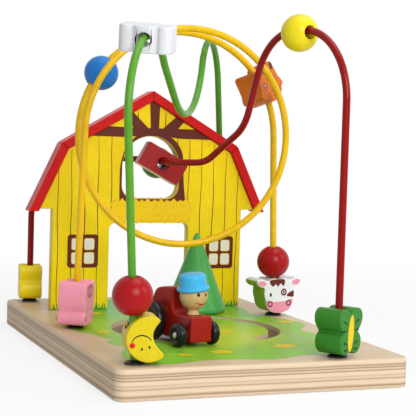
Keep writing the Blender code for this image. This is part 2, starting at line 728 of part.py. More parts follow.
def along_track(flat):
    """Local Z along a level direction, local Y straight down and local X to its left."""
    z = Vector((flat[0], flat[1], 0)).normalized()
    y = Vector((0, 0, -1))
    x = y.cross(z)
    return Matrix((x, y, z)).transposed().to_4x4()


# Tractor
def tractor_frame():
    x = SLOT_X + SLOT_RADIUS * math.cos(SLOT_LEFT_END)
    y = SLOT_Y + SLOT_RADIUS * math.sin(SLOT_LEFT_END)
    return frame_at(x, y, FLOOR, TRACTOR_HEADING)


def make_tractor(paints, steel):
    base = tractor_frame()
    carrier = pivot("tractor_pivot", base)
    low = BODY_CLEARANCE
    cab_back = -BODY_REAR
    outline = [(BODY_FRONT, low), (BODY_FRONT, HOOD_TOP - 0.002), (BODY_FRONT - 0.002, HOOD_TOP),
               (CAB_FRONT + 0.008, HOOD_TOP), (CAB_FRONT + 0.004, HOOD_TOP + 0.002),
               (CAB_FRONT + 0.0015, HOOD_TOP + 0.006), (CAB_FRONT + 0.0005, HOOD_TOP + 0.011),
               (CAB_FRONT, CAB_TOP - 0.002), (CAB_FRONT - 0.002, CAB_TOP), (CAB_FRONT - 0.010, CAB_TOP - 0.0003),
               (cab_back + 0.008, CAB_TOP - 0.0022), (cab_back + 0.003, CAB_TOP - 0.0065),
               (cab_back + 0.0006, CAB_TOP - 0.012), (cab_back, CAB_TOP - 0.018), (cab_back, low)]
    body = plate("tractor_body", outline, 2 * BODY_HALF_WIDTH, paints["tractor"])
    bevel(body, 0.0008, 1, math.radians(50))
    place(body, base, carrier)
    pin_hole = rod("pin_hole", PIN_RADIUS + GAP, -0.01, low + PIN_DEPTH_IN_BODY + GAP, None)
    cut(body, place(pin_hole, base))
    peg_hole = rod("peg_hole", PEG_RADIUS + GAP, HOOD_TOP - PEG_DEPTH - GAP, HOOD_TOP + 0.01, None)
    cut(body, place(peg_hole, base @ Matrix.Translation((DRIVER_X, 0, 0))))

    axles = (("front", FRONT_AXLE_X, FRONT_WHEEL_RADIUS, FRONT_WHEEL_WIDTH),
             ("rear", REAR_AXLE_X, REAR_WHEEL_RADIUS, REAR_WHEEL_WIDTH))
    for name, x, radius, width in axles:
        spin = base @ Matrix.Translation((x, 0, radius + GAP)) @ Matrix.Rotation(math.radians(90), 4, "X")
        axle_pivot = pivot(f"{name}_axle_pivot", spin)
        left = BODY_HALF_WIDTH + RUNNING_GAP
        right = left + AXLE_PLAY
        low, high = -(left + width + 0.0004), right + width + 0.0004
        hole = rod(f"{name}_axle_hole", AXLE_RADIUS + GAP, low, high, None)
        cut(body, place(hole, spin))
        axle = turned(f"{name}_axle", [(0, low), (AXLE_RADIUS * 0.7, low), (AXLE_RADIUS, low + 0.0006),
                                       (AXLE_RADIUS, high - 0.0006), (AXLE_RADIUS * 0.7, high), (0, high)],
                      steel, SMALL_SIDES)
        place(axle, spin, axle_pivot)
        for side, turn, inner in (("left", math.pi, left), ("right", 0, right)):
            wheel = make_wheel(f"{name}_wheel_{side}", radius, width, paints["black"])
            face_out = Matrix.Rotation(turn, 4, "X")
            place(wheel, spin @ face_out @ Matrix.Translation((0, 0, inner)), axle_pivot)

    make_driver(base, carrier, paints)
    make_follower(base, steel)


def make_wheel(name, radius, width, material):
    """A fat turned wheel: flat inside, rounded tread, dished outer face and a hub."""
    bore = AXLE_RADIUS + GAP
    soft = 0.42 * width
    tread = arc(radius - soft, soft, soft, -math.pi / 2, 0, 3) + \
        arc(radius - soft, width - soft, soft, 0, math.pi / 2, 3)[1:]
    face = [(0.62 * radius, width - 0.0006), (0.48 * radius, width - 0.0012), (0.40 * radius, width - 0.0002)]
    return turned(name, [(bore, 0)] + tread + face + [(bore, width - 0.0002)], material, 20)


def make_driver(base, carrier, paints):
    """Turned peg with a ball head, standing in the hood, and its hat."""
    seat = base @ Matrix.Translation((DRIVER_X, 0, HOOD_TOP))
    low = -math.asin((HEAD_HEIGHT - NECK_HEIGHT) / HEAD_RADIUS)
    high = math.asin((HAT_SEAT - HEAD_HEIGHT) / HEAD_RADIUS)
    profile = [(0, -PEG_DEPTH), (PEG_RADIUS, -PEG_DEPTH), (PEG_RADIUS, GAP), (NECK_FOOT_RADIUS, GAP),
               (NECK_FOOT_RADIUS, 0.0008), (NECK_RADIUS, 0.0022), (NECK_RADIUS, NECK_HEIGHT - 0.0005)]
    profile += arc(0, HEAD_HEIGHT, HEAD_RADIUS, low, high, 9) + [(0, HAT_SEAT)]
    place(turned("driver_peg", profile, paints["wood"]), seat, carrier)
    brim = HAT_SEAT + GAP
    crown = brim + CROWN_HEIGHT
    hat = [(0, brim), (BRIM_RADIUS - 0.001, brim), (BRIM_RADIUS, brim + 0.0008), (BRIM_RADIUS, brim + 0.0016),
           (BRIM_RADIUS - 0.0008, brim + BRIM_HEIGHT), (CROWN_RADIUS, brim + BRIM_HEIGHT + 0.0004),
           (CROWN_RADIUS, crown - 0.0022), (CROWN_RADIUS - 0.0008, crown - 0.0007),
           (CROWN_RADIUS - 0.0025, crown), (0, crown)]
    place(turned("driver_hat", hat, paints["hat"]), seat, carrier)


def make_follower(base, steel):
    """The pin that runs in the slot, and the washer that keeps it there from below."""
    centre = pivot("slot_pivot", frame_at(SLOT_X, SLOT_Y, 0))
    head_low = 0.0010
    head_top = head_low + PIN_HEAD_HEIGHT
    top = FLOOR + BODY_CLEARANCE + PIN_DEPTH_IN_BODY
    pin = turned("track_pin", [(0, head_low), (PIN_HEAD_RADIUS - 0.0005, head_low), (PIN_HEAD_RADIUS, head_low + 0.0005),
                               (PIN_HEAD_RADIUS, head_top), (PIN_RADIUS, head_top), (PIN_RADIUS, top), (0, top)],
                 steel, SMALL_SIDES)
    flat = Matrix.Translation((base.translation.x, base.translation.y, 0))
    place(pin, flat, centre)
    low = head_top + GAP
    bore = PIN_RADIUS + GAP
    ring = [(bore, low), (WASHER_RADIUS, low), (WASHER_RADIUS, low + WASHER_THICKNESS), (bore, low + WASHER_THICKNESS)]
    place(turned("track_washer", ring, steel), flat, centre)


def main():
    clear_scene()
    wood = paint("birch_plywood", (0.78, 0.60, 0.40), 0.5)
    steel = paint("plated_steel", (0.60, 0.60, 0.58), 0.3, 1.0)
    rubber = paint("black_cap", (0.012, 0.012, 0.012), 0.4)
    paints = {
        "red": paint("red_lacquer", (0.55, 0.02, 0.02), 0.3), "brick": paint("brick_lacquer", (0.45, 0.02, 0.025)),
        "green": paint("green_lacquer", (0.06, 0.30, 0.04)), "yellow": paint("yellow_lacquer", (0.85, 0.62, 0.02)),
        "blue": paint("blue_lacquer", (0.02, 0.14, 0.50)), "white": paint("white_lacquer", (0.85, 0.85, 0.86)),
        "pink": paint("pink_lacquer", (0.85, 0.30, 0.38)), "orange": paint("orange_lacquer", (0.75, 0.22, 0.03)),
        "tractor": paint("tractor_red", (0.38, 0.01, 0.012)), "black": paint("black_lacquer", (0.015, 0.015, 0.015)),
        "hat": paint("light_blue_lacquer", (0.03, 0.38, 0.70)), "wood": paint("bare_beech", (0.78, 0.58, 0.38), 0.45),
    }
    red, green, yellow = red_route(), green_route(), yellow_route()
    feet = (("red_front", red, 0), ("red_back", red, 1), ("green_front", green, 0), ("green_back", green, 1),
            ("yellow_left", yellow, 0), ("yellow_right", yellow, 1))
    make_board(wood, feet)
    make_barn(paint("barn_yellow", (0.90, 0.66, 0.02), 0.4))
    make_roof(paint("roof_red", (0.62, 0.02, 0.02)))
    make_tree(paint("tree_green", (0.06, 0.34, 0.10)))
    make_screws(steel)
    for name, route, end in feet:
        make_ferrule(f"ferrule_{name}", route, end, rubber)
    wire("wire_red", red, paint("red_coating", (0.32, 0.008, 0.012), 0.25))
    wire("wire_green", green, paint("green_coating", (0.14, 0.48, 0.06), 0.25))
    wire("wire_yellow", yellow, paint("yellow_coating", (0.85, 0.50, 0.02), 0.25))
    make_beads(paints, red, green, yellow)
    make_tractor(paints, steel)


main()
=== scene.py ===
"""Looks for the wooden bead frame: lacquered and printed wood, birch plywood and coated wires."""
import math

import bmesh
import bpy
from mathutils import Matrix, Vector, geometry


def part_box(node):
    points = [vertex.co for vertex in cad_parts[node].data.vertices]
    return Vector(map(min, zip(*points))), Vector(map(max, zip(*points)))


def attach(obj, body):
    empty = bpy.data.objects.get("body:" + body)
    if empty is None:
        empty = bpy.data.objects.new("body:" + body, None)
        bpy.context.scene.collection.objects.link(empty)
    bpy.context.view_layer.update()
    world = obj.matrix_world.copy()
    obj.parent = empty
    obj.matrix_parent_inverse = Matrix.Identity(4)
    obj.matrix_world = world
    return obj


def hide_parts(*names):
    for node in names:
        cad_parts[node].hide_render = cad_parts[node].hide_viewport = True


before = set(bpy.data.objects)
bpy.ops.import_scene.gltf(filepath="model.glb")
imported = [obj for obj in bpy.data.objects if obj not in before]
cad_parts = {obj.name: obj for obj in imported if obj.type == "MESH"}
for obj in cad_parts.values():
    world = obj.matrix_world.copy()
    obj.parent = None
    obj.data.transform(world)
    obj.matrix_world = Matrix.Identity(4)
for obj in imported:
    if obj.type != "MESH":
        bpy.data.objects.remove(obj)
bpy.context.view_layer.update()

# Sizes that the pieces share with the frame, in metres
MM = 0.001
GAP = 0.0003
BOARD_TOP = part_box("base_board")[1][2]
BARN_FRONT, BARN_BACK = (corner[1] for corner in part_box("barn_front"))
SLOT_X, SLOT_Y, SLOT_RADIUS, SLOT_WIDTH = 0.002, -0.018, 0.057, 0.009
SLOT_ENDS = (math.radians(-60), math.radians(238))
FOOT_DEPTH = 0.012
WIRE_RADIUS = 0.0025
WIRE_STEP = 0.0025
BALL_RADIUS = 0.0127
BORE_RADIUS = 0.0045
BEAD_HANG = 0.0016
BEAD_THICKNESS = 0.020
CHICK_THICKNESS = 0.018
CLOUD_THICKNESS = 0.0172
FERRULE_RADIUS = 0.0066
FERRULE_HEIGHT = 0.0025
FEET = {
    "red_front": (0.0528, -0.1430), "red_back": (-0.0833, 0.1411), "green_front": (-0.0835, -0.1385),
    "green_back": (0.0871, 0.1375), "yellow_left": (-0.0824, 0.0031), "yellow_right": (0.0871, 0.0347),
}

# Sizes of the looks alone
PRINT_LIFT = 0.00003
BEAD_EDGE = 0.0011
BEAD_FIT = 0.98
SHARP_ANGLE = math.radians(38)

# Colours that more than one finish uses, linear
BLACK = (0.012, 0.012, 0.011)
WHITE = (0.78, 0.79, 0.82)
BIRCH = (0.64, 0.50, 0.345)
LIME = (0.45, 0.58, 0.018)
MEADOW = (0.20, 0.43, 0.025)
PAINTS = {}


def shade(colour, amount):
    return tuple(min(1.0, c * amount) for c in colour)


# Node helpers
class Nodes:
    """Adds nodes to one tree; an input is a number, a colour or another node's socket."""

    def __init__(self, tree):
        self.tree = tree

    def add(self, kind, inputs=(), **settings):
        item = self.tree.nodes.new("ShaderNode" + kind)
        for name, value in settings.items():
            setattr(item, name, value)
        for name, value in dict(inputs).items():
            self.feed(item.inputs[name], value)
        return item

    def feed(self, socket, value):
        if isinstance(value, bpy.types.NodeSocket):
            self.tree.links.new(value, socket)
        elif hasattr(value, "__len__") and len(value) == 3 and socket.type == "RGBA":
            socket.default_value = (*value, 1.0)
        else:
            socket.default_value = value

    def maths(self, operation, a, b=0.0):
        return self.add("Math", {0: a, 1: b}, operation=operation).outputs[0]

    def plus(self, a, b):
        return self.maths("ADD", a, b)

    def times(self, a, b):
        return self.maths("MULTIPLY", a, b)

    def span(self, value, low, high, to_low=0.0, to_high=1.0):
        """A value rescaled from one range to another, smooth at both ends."""
        inputs = {"Value": value, "From Min": low, "From Max": high, "To Min": to_low, "To Max": to_high}
        return self.add("MapRange", inputs, interpolation_type="SMOOTHSTEP").outputs["Result"]

    def seen(self, first, *others):
        """1 for rays of the named kinds, and 0 for those that only bring light."""
        rays = self.add("LightPath").outputs
        found = rays[f"Is {first} Ray"]
        for kind in others:
            found = self.maths("MAXIMUM", found, rays[f"Is {kind} Ray"])
        return found


class Finish(Nodes):
    """A material that is kept by its name in PAINTS."""

    def __init__(self, name):
        material = bpy.data.materials.new(name)
        material.use_nodes = True
        super().__init__(material.node_tree)
        self.shader = self.tree.nodes["Principled BSDF"]
        self.place = self.add("TexCoord").outputs["Object"]
        PAINTS[name] = material

    def mixed(self, factor, a, b):
        item = self.add("Mix", data_type="RGBA")
        for index, value in ((0, factor), (6, a), (7, b)):
            self.feed(item.inputs[index], value)
        return item.outputs[2]

    def noise(self, scale, detail=3.0, stretch=(1, 1, 1)):
        vector = self.add("Mapping", {"Vector": self.place, "Scale": stretch}).outputs["Vector"]
        return self.add("TexNoise", {"Vector": vector, "Scale": scale, "Detail": detail}).outputs["Fac"]

    def surface(self, colour, roughness, relief, **more):
        """Feeds the shader; the relief is a height, its strength and its depth in metres."""
        height, strength, distance = relief
        bump = self.add("Bump", {"Height": height, "Strength": strength, "Distance": distance})
        values = {"Base Color": colour, "Roughness": roughness, "Normal": bump.outputs["Normal"]}
        names = {"specular": "Specular IOR Level", "coat": "Coat Weight", "coat_roughness": "Coat Roughness",
                 "metallic": "Metallic"}
        values.update({names[key]: value for key, value in more.items()})
        for name, value in values.items():
            self.feed(self.shader.inputs[name], value)


# Materials
def lacquer(name, colour, roughness=0.34, grain=(1, 1, 8), depth=0.5, tone=0.08):
    """Sprayed paint over wood: the grain shows faintly in tone and relief, and the gloss is uneven."""
    paint = Finish(name)
    fibres = paint.noise(1400.0, 4.0, [1.0 / g for g in grain])
    clouds = paint.noise(70.0, 2.0)
    peel = paint.noise(900.0, 1.0)
    base = paint.mixed(paint.span(fibres, 0.3, 0.7), shade(colour, 1 - tone), shade(colour, 1 + 0.4 * tone))
    cloudy = paint.mixed(paint.span(clouds, 0.35, 0.75, 0.0, 0.35), base, shade(colour, 1 - 1.6 * tone))
    gloss = paint.span(clouds, 0.3, 0.7, roughness - 0.04, roughness + 0.07)
    height = paint.plus(paint.times(fibres, 0.7), paint.times(peel, 0.5))
    paint.surface(cloudy, gloss, (height, depth, 0.00004), specular=0.12, coat=0.07, coat_roughness=0.14)


def ink(name, colour):
    """Thin printed paint, slightly uneven in tone and dry in places."""
    paint = Finish(name)
    grit = paint.noise(2600.0, 2.0)
    patchy = paint.noise(260.0, 3.0)
    tone = paint.mixed(paint.span(grit, 0.35, 0.65), shade(colour, 0.82), shade(colour, 1.06))
    worn = paint.mixed(paint.span(patchy, 0.5, 0.8, 0.0, 0.3), tone, shade(colour, 0.7))
    paint.surface(worn, paint.span(patchy, 0.3, 0.7, 0.37, 0.50), (grit, 0.3, 0.00002), specular=0.20)


def coated(name, colour):
    """Glossy plastic coating on steel wire, with faint flow marks along it."""
    paint = Finish(name)
    flow = paint.noise(120.0, 3.0)
    fine = paint.noise(1500.0, 2.0)
    tone = paint.mixed(paint.span(flow, 0.3, 0.7), shade(colour, 0.93), shade(colour, 1.04))
    gloss = paint.span(flow, 0.3, 0.7, 0.22, 0.32)
    paint.surface(tone, gloss, (fine, 0.10, 0.00002), specular=0.12, coat=0.14, coat_roughness=0.10)


def bare_wood(name, colour):
    """Turned or sanded wood under clear lacquer: fine fibres, short pores and a warm drift of tone."""
    paint = Finish(name)
    along = (1, 1, 0.1)
    fibres = paint.noise(1100.0, 5.0, along)
    pores = paint.noise(3200.0, 1.0, along)
    drift = paint.noise(60.0, 2.0)
    base = paint.mixed(paint.span(fibres, 0.3, 0.7), shade(colour, 0.92), shade(colour, 1.06))
    amber = (colour[0] * 0.95, colour[1] * 0.82, colour[2] * 0.72)
    warm = paint.mixed(paint.span(drift, 0.35, 0.7, 0.0, 0.3), base, amber)
    dotted = paint.mixed(paint.span(pores, 0.66, 0.78, 0.0, 0.35), warm, shade(colour, 0.6))
    height = paint.maths("SUBTRACT", fibres, pores)
    paint.surface(dotted, paint.span(fibres, 0.3, 0.7, 0.36, 0.50), (height, 0.35, 0.00005))


# Each veneer edge's height as a share of the board's, and its tone
PLY_BANDS = (
    (0.00, 0.72), (0.05, 1.12), (0.10, 0.90), (0.135, 0.48), (0.17, 0.80), (0.22, 1.14), (0.32, 1.10),
    (0.365, 0.62), (0.40, 1.06), (0.48, 0.86), (0.51, 1.14), (0.60, 1.12), (0.635, 0.46), (0.67, 1.04),
    (0.70, 1.00), (0.725, 0.42), (0.76, 0.92), (0.82, 0.56), (0.85, 1.10), (0.93, 1.16), (1.00, 0.98),
)


def plywood(name):
    """Birch plywood: long-grained face veneer above, stacked light and dark veneers on every edge."""
    paint = Finish(name)
    up = paint.add("SeparateXYZ", {"Vector": paint.place}).outputs["Z"]
    waver = paint.noise(14.0, 2.0, (1, 1, 0.1))
    height = paint.plus(paint.maths("DIVIDE", up, BOARD_TOP), paint.times(waver, 0.05))
    bands = paint.add("ValToRGB", {"Fac": paint.maths("SUBTRACT", height, 0.025)})
    ramp = bands.color_ramp.elements
    ramp[0].color = (*shade(BIRCH, PLY_BANDS[0][1]), 1.0)
    ramp[1].color = (*shade(BIRCH, PLY_BANDS[-1][1]), 1.0)
    for position, tone in PLY_BANDS[1:-1]:
        warmth = 1.0 if tone > 0.8 else 0.88
        ramp.new(position).color = (*(c * tone * warmth ** k for k, c in enumerate(BIRCH)), 1.0)
    streaks = paint.noise(420.0, 4.0, (0.12, 0.12, 6.0))
    edge = paint.mixed(paint.span(streaks, 0.40, 0.75, 0.0, 0.30), bands.outputs["Color"], shade(BIRCH, 0.66))
    figure = paint.noise(60.0, 5.0, (0.25, 2.2, 1.0))
    veins = paint.noise(700.0, 3.0, (0.06, 1.0, 1.0))
    flat = paint.mixed(paint.span(figure, 0.35, 0.68), BIRCH, (0.66, 0.49, 0.29))
    face = paint.mixed(paint.span(veins, 0.45, 0.75, 0.0, 0.4), flat, shade(BIRCH, 0.66))
    normal = paint.add("TexCoord").outputs["Normal"]
    facing = paint.add("SeparateXYZ", {"Vector": normal}).outputs["Z"]
    upward = paint.span(paint.maths("ABSOLUTE", facing), 0.6, 0.9)
    relief = (paint.plus(veins, streaks), 0.4, 0.00006)
    gloss = paint.span(upward, 0.0, 1.0, 0.55, 0.40)
    paint.surface(paint.mixed(upward, edge, face), gloss, relief, specular=0.25)


def meadow_paint(name):
    """The printed meadow: lime in the middle of the ring, mid green outside and deep green at the back."""
    paint = Finish(name)
    along = paint.add("SeparateXYZ", {"Vector": paint.place}).outputs["Y"]
    brush = paint.noise(26.0, 4.0, (1.0, 0.5, 1.0))
    middle = {0: paint.place, 1: (0.012, -0.050, BOARD_TOP)}
    away = paint.add("VectorMath", middle, operation="DISTANCE").outputs["Value"]
    lime = paint.span(paint.plus(away, paint.times(brush, 0.045)), 0.045, 0.085, 1.0, 0.0)
    back = paint.span(paint.plus(along, paint.times(brush, 0.06)), 0.045, 0.115)
    front = paint.span(paint.plus(along, paint.times(brush, 0.04)), -0.125, -0.075, 1.0, 0.0)
    dabs = paint.noise(90.0, 3.0, (1.0, 0.4, 1.0))
    ground = paint.mixed(paint.span(dabs, 0.35, 0.65), MEADOW, shade(MEADOW, 1.25))
    fresh = paint.mixed(paint.times(front, 0.8), ground, (0.19, 0.50, 0.02))
    sunny = paint.mixed(paint.times(lime, 0.9), fresh, LIME)
    whole = paint.mixed(paint.times(back, 0.9), sunny, (0.085, 0.40, 0.045))
    grain = paint.noise(700.0, 3.0, (0.08, 1.0, 1.0))
    paint.surface(whole, paint.span(dabs, 0.3, 0.7, 0.34, 0.46), (grain, 0.3, 0.00005), specular=0.25)


def plated(name, colour):
    """Zinc-plated steel with fine turning marks and dull patches."""
    paint = Finish(name)
    marks = paint.noise(2400.0, 2.0, (1, 1, 6))
    patches = paint.noise(300.0, 3.0)
    tone = paint.mixed(patches, shade(colour, 0.8), shade(colour, 1.15))
    paint.surface(tone, paint.span(patches, 0.3, 0.7, 0.24, 0.42), (marks, 0.3, 0.00003), metallic=1.0)


def moulded(name, colour, roughness):
    """Moulded plastic with a fine satin grain and rubbed patches."""
    paint = Finish(name)
    grain = paint.noise(3000.0, 2.0)
    rubbed = paint.noise(240.0, 2.0)
    tone = paint.mixed(rubbed, shade(colour, 0.8), shade(colour, 1.6))
    gloss = paint.span(rubbed, 0.3, 0.7, roughness - 0.06, roughness + 0.08)
    paint.surface(tone, gloss, (grain, 0.25, 0.00002), specular=0.25)


def make_paints():
    """Every finish by name and colour; a lacquer may add its roughness, grain, relief and tone."""
    for lacquer_settings in (
        ("barn_paint", (0.92, 0.67, 0.006), 0.38),
        ("roof_paint", (0.60, 0.008, 0.008), 0.34, (8, 1, 2)),
        ("tree_paint", (0.075, 0.36, 0.085), 0.30, (1, 1, 1)),
        # The moon's yellow is the same paint as the chick's, darkened: painted shade.
        ("moon_paint", (0.69, 0.55, 0.010)),
        # The chick's yellow is the same paint as the moon's, lightened: painted light.
        ("chick_paint", (0.90, 0.72, 0.012)),
        ("berry_paint", (0.38, 0.006, 0.007), 0.24),
        ("blue_paint", (0.018, 0.185, 0.58), 0.26),
        ("lemon_paint", (0.82, 0.68, 0.014), 0.26),
        ("moss_paint", (0.06, 0.22, 0.02), 0.28),
        ("white_paint", WHITE, 0.30, (1, 1, 8), 0.5, 0.03),
        # The cloud's white is the cow's white paint darkened: painted shade.
        ("cloud_paint", shade(WHITE, 0.90), 0.30, (1, 1, 8), 0.5, 0.03),
        ("pink_paint", (0.90, 0.33, 0.44), 0.36, (8, 1, 1)),
        ("olive_paint", (0.36, 0.52, 0.07), 0.36),
        ("leaf_paint", (0.0375, 0.2175, 0.0225), 0.30),
        ("ginger_paint", (0.62, 0.155, 0.012)),
        ("brick_paint", (0.36, 0.016, 0.018), 0.36, (6, 1, 1), 0.7),
        ("tractor_paint", (0.36, 0.013, 0.010), 0.32),
        ("hat_paint", (0.06, 0.45, 0.80), 0.28),
    ):
        lacquer(*lacquer_settings)
    for name, colour in {
        "ink_black": BLACK, "ink_brown": (0.130, 0.020, 0.008), "ink_red": (0.62, 0.012, 0.012),
        "ink_pink": (0.60, 0.13, 0.22), "ink_pale_pink": (0.84, 0.31, 0.41), "ink_plum": (0.16, 0.02, 0.05),
        "ink_yellow": (0.84, 0.60, 0.012), "ink_straw": (0.98, 0.63, 0.006),
        "ink_straw_dark": (0.84, 0.46, 0.008), "ink_cream": (0.85, 0.81, 0.71),
        "ink_plank": (0.22, 0.06, 0.010), "ink_grass": (0.09, 0.34, 0.02), "ink_lime": LIME,
        "ink_pale_green": (0.40, 0.58, 0.06), "ink_gold": (0.42, 0.22, 0.03),
    }.items():
        ink(name, colour)
    coated("red_coat", (0.27, 0.001, 0.001))
    coated("green_coat", (0.090, 0.31, 0.018))
    coated("yellow_coat", (0.80, 0.48, 0.005))
    # This beech paints only the block's lower face, a painted reflection of the yellow barn.
    bare_wood("beech_as_painted_reflection", (0.72, 0.52, 0.27))
    # The head's wood is the beech above, darkened: painted shade.
    bare_wood("head_beech_with_painted_shade", (0.58, 0.40, 0.17))
    moulded("wheel_paint", (0.006, 0.006, 0.007), 0.26)
    moulded("cap_plastic", BLACK, 0.28)
    plated("plated_steel", (0.58, 0.58, 0.55))
    plywood("birch_ply")
    meadow_paint("meadow_print")


# Mesh helpers
def link(name, mesh, paints, matrix, body):
    """Places the mesh itself, so that every piece's object sits at the origin as the frame's do."""
    mesh.transform(matrix)
    item = bpy.data.objects.new(name, mesh)
    bpy.context.scene.collection.objects.link(item)
    for paint in paints:
        mesh.materials.append(PAINTS[paint])
    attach(item, body)
    return item


def stand_in(node_name):
    """Hides a node of the frame, whose place a new piece takes."""
    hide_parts(node_name)


def to_mesh(name, bm, smooth=True):
    bmesh.ops.recalc_face_normals(bm, faces=bm.faces)
    mesh = bpy.data.meshes.new(name)
    bm.to_mesh(mesh)
    bm.free()
    if smooth:
        mesh.shade_smooth()
        mesh.set_sharp_from_angle(angle=SHARP_ANGLE)
    return mesh


def in_mm(points):
    return [(x * MM, y * MM) for x, y in points]


def mirrored(half):
    return list(half) + [(-x, z) for x, z in reversed(half) if x > 0]


def arc(x, y, radius, start, end, steps):
    angles = [start + (end - start) * i / steps for i in range(steps + 1)]
    return [(x + radius * math.cos(a), y + radius * math.sin(a)) for a in angles]


def rounded_box(x, z, width, height, corner):
    outline = []
    for i, (sx, sz) in enumerate(((1, 1), (-1, 1), (-1, -1), (1, -1))):
        outline += arc(x + sx * (width / 2 - corner), z + sz * (height / 2 - corner), corner,
                       i * math.pi / 2, (i + 1) * math.pi / 2, 5)
    return in_mm(outline)


def oval(x, z, rx, rz, turn=0.0, steps=28):
    c, s = math.cos(math.radians(turn)), math.sin(math.radians(turn))
    points = [(rx * math.cos(a), rz * math.sin(a)) for a in (2 * math.pi * i / steps for i in range(steps))]
    return in_mm([(x + u * c - v * s, z + u * s + v * c) for u, v in points])


def through(points, closed=True, steps=5):
    """A smooth curve through the points."""
    count = len(points)
    result = []
    for i in range(count if closed else count - 1):
        around = [i + k for k in (-1, 0, 1, 2)]
        picks = [k % count if closed else min(max(k, 0), count - 1) for k in around]
        a, b, c, d = (Vector(points[k]) for k in picks)
        for s in range(steps):
            t = s / steps
            curve = 2 * b + (c - a) * t + (2 * a - 5 * b + 4 * c - d) * t * t
            curve += (3 * b - a - 3 * c + d) * t ** 3
            result.append(tuple(0.5 * curve))
    if not closed:
        result.append(tuple(points[-1]))
    return result


def rounded(half):
    """A bead's smooth outline from its right half in millimetres, no larger than its corners reach."""
    corners = mirrored(half)
    curve = through(corners, steps=4)
    fitted = []
    for axis in (0, 1):
        wanted, found = [p[axis] for p in corners], [p[axis] for p in curve]
        low, reach = min(wanted), max(wanted) - min(wanted)
        from_low, from_reach = min(found), max(found) - min(found)
        fitted.append([BEAD_FIT * (low + (value - from_low) * reach / from_reach) for value in found])
    return in_mm(zip(*fitted))


def stroke(points, width, steps=6, wobble=0.0):
    """The outline of a brush stroke along a smooth line, in millimetres, narrower at its ends."""
    line = [Vector(p) for p in through(points, False, steps)]
    left, right = [], []
    for i, p in enumerate(line):
        ahead = line[min(i + 1, len(line) - 1)] - line[max(i - 1, 0)]
        side = Vector((-ahead.y, ahead.x)).normalized()
        share = i / (len(line) - 1)
        swell = 0.55 + 0.45 * math.sin(math.pi * share) + wobble * math.sin(9.0 * share + points[0][0])
        left.append(p + side * 0.5 * width * swell)
        right.append(p - side * 0.5 * width * swell)
    return in_mm([tuple(p) for p in left + right[::-1]])


def turned(name, profile, sides=64):
    """A profile of (radius, height) points spun round local Z."""
    bm = bmesh.new()
    ring = [bm.verts.new((r, 0, z)) for r, z in profile]
    edges = [bm.edges.new((ring[i], ring[i + 1])) for i in range(len(ring) - 1)]
    if profile[0][0] > 0:
        edges.append(bm.edges.new((ring[-1], ring[0])))
    bmesh.ops.spin(bm, geom=ring + edges, cent=(0, 0, 0), axis=(0, 0, 1), angle=2 * math.pi,
                   steps=sides, use_merge=True)
    bmesh.ops.remove_doubles(bm, verts=bm.verts, dist=1e-6)
    return to_mesh(name, bm)


def slab(name, outline, thickness):
    """An upright outline in local X and Z with even thickness about local Y."""
    bm = bmesh.new()
    face = bm.faces.new([bm.verts.new((x, -thickness / 2, z)) for x, z in outline])
    extruded = bmesh.ops.extrude_face_region(bm, geom=[face])
    moved = [v for v in extruded["geom"] if isinstance(v, bmesh.types.BMVert)]
    bmesh.ops.translate(bm, vec=(0, thickness, 0), verts=moved)
    return to_mesh(name, bm, False)


def bored(mesh):
    """The mesh with a bead's bore along local Z, its rim kept sharp for the bevel."""
    reach = 0.03
    profile = [(0, -reach), (BORE_RADIUS, -reach), (BORE_RADIUS, reach), (0, reach)]
    cutter = bpy.data.objects.new("bore", turned("bore", profile, 40))
    item = bpy.data.objects.new("blank", mesh)
    for piece in (cutter, item):
        bpy.context.scene.collection.objects.link(piece)
    modifier = item.modifiers.new("bore", "BOOLEAN")
    modifier.solver = "EXACT"
    modifier.object = cutter
    bpy.context.view_layer.update()
    result = bpy.data.meshes.new_from_object(item.evaluated_get(bpy.context.evaluated_depsgraph_get()))
    for piece in (cutter, item):
        bpy.data.objects.remove(piece, do_unlink=True)
    return result


def soften(item, width, segments=3, angle=40):
    """Rounded edges with flat faces kept flat in the shading."""
    item.data.shade_smooth()
    edge = item.modifiers.new("edge", "BEVEL")
    edge.width = width
    edge.segments = segments
    edge.limit_method = "ANGLE"
    edge.angle_limit = math.radians(angle)
    edge.use_clamp_overlap = False
    item.modifiers.new("normals", "WEIGHTED_NORMAL")


def dress(node_name, paint, edge=0.0):
    """Gives a node of the frame its material, and softened edges where asked."""
    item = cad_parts[node_name]
    item.data.materials.clear()
    item.data.materials.append(PAINTS[paint])
    if edge:
        weld = item.modifiers.new("weld", "WELD")
        weld.merge_threshold = 0.00001
        soften(item, edge, 2, 50)


class Print:
    """Painted shapes that lie just above a surface: local X runs right, local Z up, and -Y faces out."""

    def __init__(self, name, matrix, body):
        self.name, self.matrix, self.body = name, matrix, body
        self.bm = bmesh.new()
        self.paints = []

    def paint(self, paint, *outlines, layer=1):
        """Fills the first outline and leaves the others open; a higher layer covers a lower one."""
        if paint not in self.paints:
            self.paints.append(paint)
        y = -PRINT_LIFT * layer
        corners = [self.bm.verts.new((x, y, z)) for outline in outlines for x, z in outline]
        flat = [[Vector((x, z, 0)) for x, z in outline] for outline in outlines]
        for triangle in geometry.tessellate_polygon(flat):
            picks = [corners[i] for i in triangle]
            a, b, c = (v.co for v in picks)
            normal = (b - a).cross(c - a)
            if normal.length < 1e-13:
                continue
            if normal.y > 0:
                picks.reverse()
            self.bm.faces.new(picks).material_index = self.paints.index(paint)

    def finish(self):
        mesh = bpy.data.meshes.new(self.name)
        self.bm.to_mesh(mesh)
        self.bm.free()
        link(self.name, mesh, self.paints, self.matrix, self.body)


